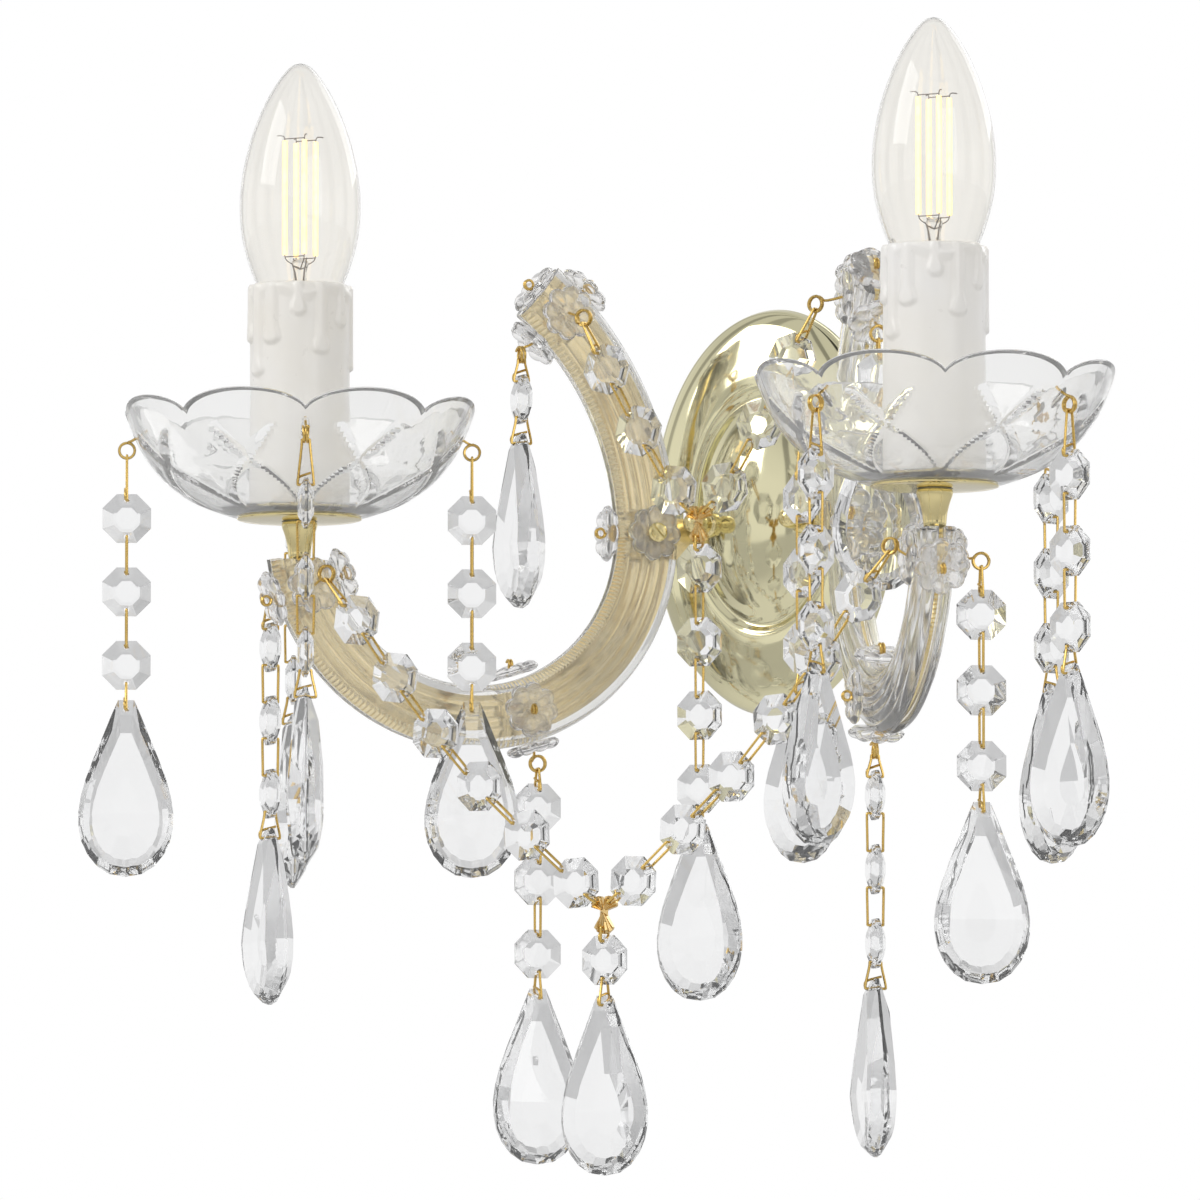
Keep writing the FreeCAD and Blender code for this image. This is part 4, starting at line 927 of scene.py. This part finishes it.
# ------------------------------------------------------------------ bulbs
class SCONCE_OT_bulbs(bpy.types.Operator):
    """Clear candle bulbs with their filament rods, wires, stems and screw caps"""
    bl_idname = "sconce.bulbs"
    bl_label = "Bulbs"

    def execute(self, context):
        outline = [(6.9, 46.4), (7.1, 48.6), (8.6, 53.0), (11.6, 60.0), (14.6, 67.6), (16.7, 75.6),
                   (17.45, 83.5), (17.1, 91.5), (15.6, 100.0), (13.0, 108.6), (9.6, 116.4), (5.9, 122.4),
                   (2.7, 125.9), (0, 126.9)]
        shell = turned("shell", curve_through(outline, 4), 72)
        smooth(modified(shell, "SOLIDIFY", thickness=0.6 * MM, offset=-1, use_rim=True), 60)
        stem = curve_through([(0, 46.6), (5.9, 46.7), (5.2, 49.5), (3.6, 55.0), (2.3, 61.0), (1.9, 66.0),
                              (2.4, 69.0), (0, 70.4)], 4)
        stem = smooth(turned("stem", stem, 32), 60)
        cap = [(0, 19.4), (3.0, 19.4), (3.1, 20.6), (5.2, 22.4)]
        for i in range(11):
            cap += [(6.2, 23.0 + i * 1.6), (6.8, 23.8 + i * 1.6)]
        cap += [(6.4, 41.0), (6.9, 42.0), (6.9, 46.2), (6.2, 46.3), (0, 46.3)]
        cap = smooth(turned("cap", cap, 40), 30)
        rod = curve_through([(0, 71.0), (0.5, 71.15), (0.75, 71.7), (0.75, 80), (0.75, 95), (0.75, 103.3),
                             (0.5, 103.85), (0, 104.0)], 3)
        rod = smooth(turned("rod", rod, 12), 50)
        turns = [math.radians(45 + i * 90) for i in range(4)]
        spots = [(4.6 * math.cos(t), 4.6 * math.sin(t)) for t in turns]
        rods = [(rod, at(x, y, 0)) for x, y in spots]
        wires = []
        for x, y in spots:
            wires.append(wire("lead", [(x, y, 104.0), (x, y, 105.2), (x * 1.25, y * 1.25, 105.6),
                                       (x * 1.5, y * 1.5, 105.4)], LEAD))
            wires.append(wire("lead", [(x, y, 71.2), (x, y, 69.6), (x * 0.5, y * 0.5, 68.4), (0, 0, 67.0)],
                              LEAD))
        for a, b in ((0, 1), (2, 3)):
            for level in (104.6, 70.4):
                wires.append(wire("cross", [(*spots[a], level), (*spots[b], level)], LEAD, order=2))
        for x in (-1.1, 1.1):
            wires.append(wire("lead", [(x, 0, 46.8), (x, 0, 58), (x * 0.6, 0, 66.0), (x * 2, 0, 70.2)], 0.2))
        for name, side in SIDES.items():
            spot = at(*candle_axis(side))
            body = name + "_bulb"
            glass_piece = gathered(name + "_bulb_shell", [(shell, spot), (stem, spot)])
            dressed(glass_piece, body, finish("bulb_glass"), name + "_bulb_glass", slot="bulb_glass")
            lit = gathered(name + "_bulb_rods", [(model, spot @ matrix) for model, matrix in rods])
            dressed(lit, body, finish("filament"), name + "_bulb_core", slot="bulb_parts")
            leads = gathered(name + "_bulb_leads", [(model, spot) for model in wires])
            dressed(leads, body, finish("dark_wire"), slot="bulb_parts")
            shell_cap = gathered(name + "_bulb_cap", [(cap, spot)])
            dressed(shell_cap, body, finish("zinc_steel"), slot="bulb_parts")
        removed(shell, stem, cap, rod, *wires)
        return {"FINISHED"}


# ------------------------------------------------------------------ glass rosettes and screws
def make_rosette():
    """Eight beads round a hollow middle, standing on Z = 0."""
    circle = ROSETTE_RADIUS - BEAD
    petal = math.pi / PETALS
    turns = 64
    rings = 11
    points = []
    faces = []
    for i in range(turns):
        turn = 2 * math.pi * i / turns
        off = (turn + petal) % (2 * petal) - petal
        reach = circle * math.cos(off) + math.sqrt(BEAD ** 2 - (circle * math.sin(off)) ** 2)
        for j in range(rings):
            share = math.sin(math.pi / 2 * (j + 1) / rings)
            radius = max(1.1, reach * share)
            near = math.hypot(radius * math.cos(off) - circle, radius * math.sin(off))
            dome = math.sqrt(max(0.0, 1 - (near / BEAD) ** 2))
            middle = 0.55 * math.exp(-((radius - 1.2) / 1.3) ** 2)
            points.append((radius * math.cos(turn), radius * math.sin(turn),
                           1.15 + 2.0 * dome + middle * 1.6 if j < rings - 1 else 1.1))
        for share, level in ((0.9, 0.25), (0.72, 0.02)):
            points.append((reach * share * math.cos(turn), reach * share * math.sin(turn), level))
    count = rings + 2
    for i in range(turns):
        k = (i + 1) % turns
        for j in range(count - 1):
            faces.append((i * count + j, i * count + j + 1, k * count + j + 1, k * count + j))
    faces.append([i * count for i in range(turns)])
    faces.append([i * count + count - 1 for i in range(turns)])
    return smooth(mended(drawn("rosette", points, faces=faces)), 60)


def rosette_places():
    """Foot, direction and height of each CAD rosette."""
    places = []
    for corners in solids_of("rosettes"):
        middle, axes = axes_of(corners)
        rise = axes[0]
        heights = [(Vector(p) - middle).dot(rise) for p in corners]
        radii = [((Vector(p) - middle) - rise * h).length for p, h in zip(corners, heights)]
        rim = np.mean([h for h, r in zip(heights, radii) if r > 5.5])
        if rim > np.mean(heights):
            rise = -rise
            rim = -rim
            heights = [-h for h in heights]
        centre = middle + rise * rim
        places.append((centre, rise, max(heights) - rim))
    return places


class SCONCE_OT_rosettes(bpy.types.Operator):
    """Glass rosettes on the arms, and the slotted screws through the rear ones"""
    bl_idname = "sconce.rosettes"
    bl_label = "Rosettes"

    def execute(self, context):
        model = make_rosette()
        copies = [(model, pointing(rise, foot)) for foot, rise, _ in rosette_places()]
        piece = gathered("rosette_beads", copies)
        removed(model)
        dressed(piece, ROOT, finish("rosette_glass"), "rosettes", slot="pressed_glass")

        screws = []
        for corners in solids_of("arm_screws"):
            middle = Vector((corners.min(0) + corners.max(0)) / 2)
            axis = arm_vector(0, 1)
            if middle.x < 0:
                axis.x *= -1
            half = max((Vector(p) - middle).dot(axis) for p in corners)
            end = half - 1
            shank = turned("shank", [(0, -end), (1.5, -end), (1.5, end), (0, end)], 20)
            screws.append((shank, pointing(axis, middle)))
            for way in (1, -1):
                head = turned("head", [(0, -1.5), (2.7, -1.5), (2.8, -1.3), (2.8, -0.5), (2.3, -0.12),
                                       (1.2, 0.0), (0, 0.02)], 40)
                bpy.ops.mesh.primitive_cube_add(size=1)
                cutter = bpy.context.object
                moved(cutter, at(0, 0, 0.2) @ Matrix.Diagonal((8 * MM, 0.8 * MM, 1.6 * MM, 1)))
                cut_away(head, cutter)
                screws.append((smooth(head, 30), pointing(axis * way, middle + axis * way * half)))
        piece = gathered("clamp_screws", screws)
        removed(*[model for model, _ in screws])
        dressed(piece, ROOT, finish("brass"), "arm_screws", slot="brass")
        return {"FINISHED"}


# ------------------------------------------------------------------ wire eyes
def coil_points(middle, axis, towards, turns=2.2, radius=RING, pitch=0.85):
    """Points of a wire ring of about two turns, whose last turn leaves towards a direction."""
    axis = Vector(axis).normalized()
    first = (Vector(towards) - axis * Vector(towards).dot(axis)).normalized()
    other = axis.cross(first)
    points = []
    steps = int(turns * 12)
    for i in range(steps + 1):
        turn = -2 * math.pi * (steps - i) / 12
        lift = axis * (pitch * (i - steps / 2) / 12)
        points.append(middle + first * (radius * math.cos(turn)) + other * (radius * math.sin(turn)) + lift)
    return points


def is_screwed(foot):
    """Whether a rosette is one of those that a clamp screw goes through."""
    places = [Vector(p) for corners in solids_of("arm_screws") for p in corners]
    return any((place - foot).length < SCREW_REACH for place in places)


class SCONCE_OT_eyes(bpy.types.Operator):
    """Coiled wire eyes on the rosettes and in the holes of the drip pans"""
    bl_idname = "sconce.eyes"
    bl_label = "Wire eyes"

    def execute(self, context):
        places = rosette_places()
        tops = [foot + rise * tall for foot, rise, tall in places]
        used = set()
        wires = []
        rings = []
        for name, side in SIDES.items():
            for label in ("cup", "bow", "curl"):
                hinge, axis = hinge_of("%s_%s_strand" % (name, label))
                rings.append((hinge + UP * BAR_DROP, axis))
            for swag in ("lower_swag", "upper_swag"):
                rings.append((swag_bar(swag, side) + UP * BAR_DROP, Vector((0, 1, 0))))
        for middle, axis in rings:
            nearest = min(range(len(tops)), key=lambda i: (tops[i] - middle).length)
            used.add(nearest)
            foot, rise, tall = places[nearest]
            anchor = foot + rise * (tall - 2.4)
            coil = coil_points(middle, axis, anchor - middle)
            wires.append(wire("eye", coil + [middle.lerp(anchor, 0.75), anchor]))
        for i, (foot, rise, tall) in enumerate(places):
            if i in used or tall < PIN_LEAST or is_screwed(foot):
                continue
            side = UP.cross(rise)
            if side.length < 0.3:
                side = arm_vector(0, 1)
            middle = foot + rise * 3.4
            coil = coil_points(middle, side.normalized(), -rise, 1.7, 1.35, 0.8)
            wires.append(wire("pin", coil + [foot + rise * 0.8]))
        for name, side in SIDES.items():
            for i in range(4):
                hinge, axis = hinge_of("%s_pan_strand_%d" % (name, i + 1))
                middle = hinge + UP * BAR_DROP
                out = middle - candle_axis(side)
                out.z = 0
                out.normalize()
                hole = candle_axis(side) + out * HOOK_SPOT[0] + UP * HOOK_SPOT[1]
                coil = coil_points(middle, axis, UP, 2.0)
                inside = hole - out * 2.0 + UP * 0.9
                wires.append(wire("hook", coil + [middle + UP * 2.6 - out * 1.2, hole, inside,
                                                  inside - out * 0.7 + UP * 0.9]))
        piece = gathered("eye_wires", [(model, Matrix()) for model in wires])
        removed(*wires)
        dressed(piece, ROOT, finish("gold_wire"), "wire_eyes", slot="gold_wire")
        return {"FINISHED"}


# ------------------------------------------------------------------ crystals and links
MODELS = {}


def cut_by(piece, planes):
    """Cut a piece by planes, each a point and an outward normal, as facets are ground."""
    edit(piece)
    for spot, way in planes:
        bpy.ops.mesh.select_all(action="SELECT")
        bpy.ops.mesh.bisect(plane_co=Vector(spot) * MM, plane_no=Vector(way).normalized(), use_fill=True,
                            clear_outer=True, threshold=1e-7)
    leave_edit()
    return piece


def drilled(piece, levels, radius=0.8):
    for level in levels:
        bpy.ops.mesh.primitive_cylinder_add(vertices=10, radius=radius * MM, depth=16 * MM,
                                            location=(0, 0, level * MM), rotation=(math.pi / 2, 0, 0))
        cut_away(piece, bpy.context.object)
    return piece


def octagon():
    """Octagon crystal of eight facets to a side, with a wire hole near two opposite flats."""
    if "octagon" not in MODELS:
        sizes = bpy.context.scene.sconce_crystals
        flat = sizes.octagon / MM / 2
        peak = sizes.octagon_depth / MM / 2
        deselect()
        bpy.ops.mesh.primitive_cylinder_add(vertices=8, radius=flat / math.cos(math.pi / 8) * MM,
                                            depth=2 * peak * MM, rotation=(math.pi / 2, 0, 0))
        stone = bpy.context.object
        bpy.ops.object.transform_apply(rotation=True)
        moved(stone, Matrix.Rotation(math.pi / 8, 4, "Y"))
        table = peak - TABLE_CUT
        rise, run = table - OCTAGON_EDGE, flat - OCTAGON_TABLE
        planes = []
        for face in (-1, 1):
            for i in range(8):
                x, z = math.cos(math.pi / 4 * i), math.sin(math.pi / 4 * i)
                planes.append(((x * flat, face * OCTAGON_EDGE, z * flat), (x * rise, face * run, z * rise)))
            planes.append(((0, face * table, 0), (0, face, 0)))
        cut_by(stone, planes)
        MODELS["octagon"] = drilled(mended(stone), (OCTAGON_HOLE, -OCTAGON_HOLE))
    return MODELS["octagon"]


def drop():
    """Pear drop with a broad ridged front and rows of small facets behind, its hole at the origin."""
    if "drop" not in MODELS:
        sizes = bpy.context.scene.sconce_crystals
        length = sizes.drop / MM
        half = sizes.drop_width / MM / 2
        deep = sizes.drop_depth / MM / 2
        shape = ((0.17, 0.0), (0.33, 0.10), (0.50, 0.215), (0.68, 0.33), (0.845, 0.45), (0.945, 0.55),
                 (0.995, 0.64), (0.99, 0.72), (0.93, 0.80), (0.80, 0.875), (0.60, 0.94), (0.34, 0.985))
        right = [(w * half * 0.98, DROP_HOLE - t * length) for w, t in shape]
        outline = right + [(0.0, DROP_HOLE - length)] + [(-x, z) for x, z in right[::-1]]
        count = len(outline)
        points = [(x, y, z) for y in (-deep, deep) for x, z in outline]
        faces = [tuple(range(count)), tuple(range(count, 2 * count))[::-1]]
        faces += [(i, i + count, (i + 1) % count + count, (i + 1) % count) for i in range(count)]
        stone = mended(drawn("drop", points, faces=faces))
        above = DROP_RIDGE * length
        ridge = UP * (DROP_HOLE - above)
        thick = Vector((0, 1, 0))
        crest = ridge - thick * deep
        planes = [(crest, (0, -above, 2.4)), (crest, (0, above - length, -2.0)),
                  (ridge + thick * (deep - 0.1), thick)]
        for i in range(count):
            (x0, z0), (x1, z1) = outline[i], outline[(i + 1) % count]
            out = Vector((z0 - z1, 0, x1 - x0)).normalized()
            middle = Vector(((x0 + x1) / 2, 0, (z0 + z1) / 2))
            if out.dot(middle - ridge) < 0:
                out = -out
            away = out.dot(middle - ridge)
            steep = out * (deep - DROP_EDGE)
            planes.append((middle - thick * DROP_EDGE, steep - thick * away * 0.24))
            planes.append((middle + thick * DROP_EDGE, steep + thick * away * 0.42))
            if i % 2 == 0:
                inner = ridge + out * away * 0.62 + thick * deep * 0.78
                planes.append((inner, out * deep * 0.42 + thick * away * 0.62))
        cut_by(stone, planes)
        MODELS["drop"] = drilled(mended(stone), (0.0,), 0.85)
    return MODELS["drop"]


def link(length, top, low, crossed):
    """Bent wire link in YZ: its top bar at the origin, its bottom bar a length below."""
    key = ("link", round(length, 1), top, low, crossed)
    if key not in MODELS:
        foot = -length
        side = 0.45
        if crossed:
            points = [(side, -low * 0.62, foot + 3.5), (side, low * 0.8, foot + 2.5),
                      (side, low + 0.1, foot + 1.6), (side, low, foot + 0.1), (0, low * 0.7, foot)]
        else:
            points = [(side, low * 0.55, foot + 0.5), (side * 0.6, low * 0.3, foot)]
        half = [(0, low * 0.8, foot), (0, low, foot), (0, low, foot + 0.3), (0, low - 0.04, foot + 1.2),
                (0, top + 0.04, -1.4), (0, top, -0.3), (0, top, 0), (0, top * 0.7, 0)]
        points += [(x, -y, z) for x, y, z in half] + half[:0:-1]
        points += [(-side * 0.4, low * 0.7, foot), (-side, -low * 0.4, foot)]
        MODELS[key] = wire("link", points, resolution=2)
    return MODELS[key]


def stones_of(body):
    """The crystals of a hanging body: octagons as (middle, front, chain), drops as hole points."""
    octagons = []
    drops = []
    for corners in solids_of(body + "_crystals"):
        middle, axes = axes_of(corners)
        front = axes[0] if axes[0].y < 0 else -axes[0]
        if np.ptp(corners, axis=0).max() > DROP_LEAST:
            drops.append((Vector((middle.x, middle.y, corners[:, 2].max() - DROP_HOLE)), front))
        else:
            chain = axes[2] if axes[2].z > 0 else -axes[2]
            octagons.append((middle, front, chain))
    return octagons, drops


def link_between(start, end, bar, top, low, crossed=False):
    """A link from one bar to another, its bars along a direction."""
    rise = start - end
    return link(rise.length, top, low, crossed), hanging(start, bar, rise)


def hanging(spot, bar, rise):
    """Carries a link to a spot, its bars along one axis and its length along another."""
    rise = rise.normalized()
    side = Vector(bar).cross(rise).normalized()
    bar = rise.cross(side)
    return at(*spot) @ Matrix((side, bar, rise)).transposed().to_4x4()


def dress_row(row, spot, top, stones, links):
    """Octagons of a chain and the link over each. Returns the last one's lower hole."""
    crossed = True
    for middle, front, chain in row:
        stones.append((octagon(), standing(middle, front, chain)))
        links.append(link_between(spot, middle + chain * OCTAGON_HOLE, front, top, LINK_FOOT, crossed))
        spot = middle - chain * OCTAGON_HOLE
        top = LINK_HALF
        crossed = False
    return spot


def dress_strand(body, sag=BAR_SAG, top=LINK_TOP):
    """Crystals and links of a strand that hangs plumb."""
    octagons, drops = stones_of(body)
    row = [(middle, front, UP) for middle, front, _ in octagons]
    row.sort(key=lambda stone: -stone[0].z)
    stones = []
    links = []
    spot = dress_row(row, hinge_of(body)[0] - UP * sag, top, stones, links)
    for hole, front in drops:
        stones.append((drop(), standing(hole, front, UP)))
        links.append(link_between(spot, hole, front, 1.7, 3.0, True))
    dress_body(body, stones, links)


def dress_body(body, stones, links):
    piece = gathered(body + "_stones", stones)
    dressed(piece, body, finish("crystal_glass"), body + "_crystals", slot="crystal_glass")
    piece = gathered(body + "_links", links)
    dressed(piece, body, finish("gold_wire"), body + "_wires", slot="gold_wire")


class SCONCE_OT_strands(bpy.types.Operator):
    """Crystal strands of the arms and drip pans"""
    bl_idname = "sconce.strands"
    bl_label = "Strands"

    def execute(self, context):
        for body in frame["bodies"]:
            if "strand" in body:
                dress_strand(body)
        return {"FINISHED"}


def swag_bar(swag, side):
    """Where the top link of a swag hangs in its eye, on one side."""
    hinge = hinge_of(swag)[0]
    first = max((stone[0] for stone in stones_of(swag)[0]), key=lambda middle: middle.x * side)
    fall = hinge.z - first.z
    return Vector((first.x + side * math.sqrt(SWAG_FIRST ** 2 - fall ** 2), hinge.y, hinge.z))


def make_spacer():
    """Brass spacer of three fluted fans round a raised middle."""
    points = []
    faces = []
    for turn, reach in ((50, 4.9), (130, 4.9), (270, 6.5)):
        first = len(points)
        flutes = 10
        for i in range(flutes + 1):
            spread = (i / flutes - 0.5) * 2
            way = math.radians(turn + spread * 33)
            tip = reach * (1 - 0.16 * spread * spread)
            for share, thick in ((0.12, 1.0), (0.5, 0.85), (0.85, 0.8), (1.0, 0.55)):
                ridge = 0.28 * (1 if i % 2 else -1) * share
                x = math.cos(way) * tip * share
                z = math.sin(way) * tip * share
                points.append((x, -thick + ridge - (0.25 if share < 0.2 else 0), z))
                points.append((x, thick + ridge * 0.5, z))
        row = 8
        for i in range(flutes):
            for j in range(3):
                a = first + i * row + 2 * j
                b = a + row
                faces.append((a, a + 2, b + 2, b))
                faces.append((a + 1, b + 1, b + 3, a + 3))
            a = first + i * row
            faces.append((a, a + row, a + row + 1, a + 1))
            faces.append((a + 6, a + 7, a + row + 7, a + row + 6))
        for i in (0, flutes):
            a = first + i * row
            for j in range(3):
                faces.append((a + 2 * j, a + 2 * j + 1, a + 2 * j + 3, a + 2 * j + 2))
    model = mended(drawn("spacer", points, faces=faces))
    deselect()
    bpy.ops.mesh.primitive_cone_add(vertices=4, radius1=1.9 * MM, radius2=0.25 * MM, depth=1.5 * MM,
                                    location=(0, -1.1 * MM, 0), rotation=(math.pi / 2, 0, 0))
    boss = bpy.context.object
    bpy.ops.object.transform_apply(location=True, rotation=True)
    moved(boss, Matrix.Rotation(math.radians(45), 4, "Y"))
    whole = gathered("spacer_model", [(model, Matrix()), (boss, Matrix())])
    removed(model, boss)
    return whole


class SCONCE_OT_swags(bpy.types.Operator):
    """Crystal swags between the arms, with their brass spacers"""
    bl_idname = "sconce.swags"
    bl_label = "Swags"

    def execute(self, context):
        spacer = make_spacer()
        for swag in ("lower_swag", "upper_swag"):
            middle = hinge_of(swag + "_pendant")[0] + UP * SPACER_DROP
            octagons = stones_of(swag)[0]
            stones = []
            links = []
            for side in SIDES.values():
                row = sorted([s for s in octagons if s[0].x * side > 0], key=lambda s: -abs(s[0].x))
                spot = dress_row(row, swag_bar(swag, side) - UP * BAR_SAG, LINK_TOP, stones, links)
                way = Vector((side * math.cos(SPACER_TURN), 0, math.sin(SPACER_TURN)))
                lobe = middle + way * SPACER_HOLE
                links.append(link_between(spot, lobe, Vector((0, -1, 0)), LINK_HALF, 2.2))
            dress_body(swag, stones, links)
            piece = gathered(swag + "_spacer", [(spacer, at(*middle))])
            dressed(piece, swag, finish("spacer_brass"), slot="gold_wire")
            dress_strand(swag + "_pendant", 0, 2.2)
        removed(spacer)
        return {"FINISHED"}


# ------------------------------------------------------------------ studio
class SCONCE_OT_stage(bpy.types.Operator):
    """Pale floor, soft lamps, white surroundings and the camera"""
    bl_idname = "sconce.stage"
    bl_label = "Stage"

    def execute(self, context):
        studio = context.scene.sconce_studio
        deselect()
        bpy.ops.mesh.primitive_plane_add(size=40, location=(0, 0, 0))
        floor = context.object
        floor.name = "floor"
        moved(floor, Matrix.Translation((0, 0, studio.floor_depth)))
        material = bpy.data.materials.new("floor_paint")
        tree = Finish(material)
        tint = tree.mix(tree.span(tree.noise(0.6, 2.0), 0.3, 0.7), (0.86, 0.86, 0.86), (0.83, 0.83, 0.835))
        tree.output(tree.surface(base_color=tint, roughness=0.7))
        floor.data.materials.append(material)

        world = bpy.data.worlds.new("studio")
        context.scene.world = world
        tree = Finish(world)
        place = tree.node("ShaderNodeTexCoord", output="Generated")
        split = tree.tree.nodes.new("ShaderNodeSeparateXYZ")
        tree.link(place, split.inputs[0])
        x, y, z = (Value(tree, split.outputs[i]) for i in range(3))
        heading = tree.node("ShaderNodeMath", {"operation": "ARCTAN2"}, {0: y, 1: x})
        level = tree.span(z, 0.22, 0.6, 0.9, 0.68) * tree.span(z, -0.65, -0.3, 0.8, 1.0)
        for middle, half, depth in REFLECTED_STRIPS:
            turn = heading - math.radians(middle)
            away = tree.node("ShaderNodeMath", {"operation": "ABSOLUTE"}, {0: turn})
            near = tree.span(away, math.radians(half) * 0.7, math.radians(half), depth, 0.0)
            level = level * (1 - near)
        back = tree.node("ShaderNodeBackground", None, {"Color": (1, 1, 1), "Strength": level})
        seen = tree.node("ShaderNodeBackground", None, {"Color": (1, 1, 1), "Strength": 1.0})
        sight = tree.node("ShaderNodeLightPath", output="Is Camera Ray")
        mixed = tree.node("ShaderNodeMixShader", None, {0: sight, 1: back, 2: seen})
        tree.output(mixed, "ShaderNodeOutputWorld")

        for name, power, size, spot in (("key", studio.key_power, 1.6, (-1.5, -1.9, 1.5)),
                                        ("fill", studio.fill_power, 1.4, (1.9, -1.4, 0.7)),
                                        ("back", studio.fill_power, 1.4, (0.4, 1.9, 1.2))):
            lamp = bpy.data.lights.new(name, "AREA")
            lamp.energy = power
            lamp.size = size
            holder = bpy.data.objects.new(name, lamp)
            holder.location = spot
            holder.rotation_euler = Vector(spot).to_track_quat("Z", "Y").to_euler()
            holder.visible_transmission = False
            context.collection.objects.link(holder)

        turn = math.radians(CAMERA_TURN)
        rise = math.radians(CAMERA_RISE)
        away = Vector((math.sin(turn) * math.cos(rise), -math.cos(turn) * math.cos(rise), math.sin(rise)))
        right = Vector((math.cos(turn), math.sin(turn), 0))
        up = away.cross(right)
        aim = right * CAMERA_AIM[0] + up * CAMERA_AIM[1]
        camera = bpy.data.cameras.new("camera")
        camera.sensor_width = 36
        camera.lens = camera.sensor_width * CAMERA_AWAY / CAMERA_FIELD
        camera.clip_end = 100
        holder = bpy.data.objects.new("camera", camera)
        facing = Matrix((right, up, away)).transposed().to_4x4()
        holder.matrix_world = Matrix.Translation(aim + away * CAMERA_AWAY) @ facing
        context.collection.objects.link(holder)
        context.scene.camera = holder
        context.scene.view_settings.view_transform = "Standard"
        return {"FINISHED"}


class SCONCE_PT_panel(bpy.types.Panel):
    """The pieces of the sconce, in the order that they are made"""
    bl_label = "Sconce"
    bl_idname = "SCONCE_PT_panel"
    bl_space_type = "VIEW_3D"
    bl_region_type = "UI"
    bl_category = "Sconce"

    def draw(self, context):
        for name, kind in GROUPS.items():
            box = self.layout.box()
            for key in kind.__annotations__:
                box.prop(getattr(context.scene, name), key)
        for operator in OPERATORS:
            self.layout.operator(operator.bl_idname)


OPERATORS = (SCONCE_OT_stage, SCONCE_OT_plate, SCONCE_OT_fixings, SCONCE_OT_arms, SCONCE_OT_candles,
             SCONCE_OT_drip_pans, SCONCE_OT_bulbs, SCONCE_OT_rosettes, SCONCE_OT_eyes, SCONCE_OT_strands,
             SCONCE_OT_swags)
GROUPS = {"sconce_crystals": SconceCrystalSizes, "sconce_colours": SconceColours,
          "sconce_studio": SconceStudio}


def register():
    for kind in (*GROUPS.values(), *OPERATORS, SCONCE_PT_panel):
        bpy.utils.register_class(kind)
    for name, kind in GROUPS.items():
        setattr(bpy.types.Scene, name, bpy.props.PointerProperty(type=kind))


def unregister():
    for name in GROUPS:
        delattr(bpy.types.Scene, name)
    for kind in (SCONCE_PT_panel, *OPERATORS[::-1], *list(GROUPS.values())[::-1]):
        bpy.utils.unregister_class(kind)


def main():
    register()
    bpy.ops.sconce.stage()
    bpy.ops.sconce.plate()
    bpy.ops.sconce.fixings()
    bpy.ops.sconce.arms()
    bpy.ops.sconce.candles()
    bpy.ops.sconce.drip_pans()
    bpy.ops.sconce.bulbs()
    bpy.ops.sconce.rosettes()
    bpy.ops.sconce.eyes()
    bpy.ops.sconce.strands()
    bpy.ops.sconce.swags()
    removed(*MODELS.values())


if __name__ == "__main__":
    main()
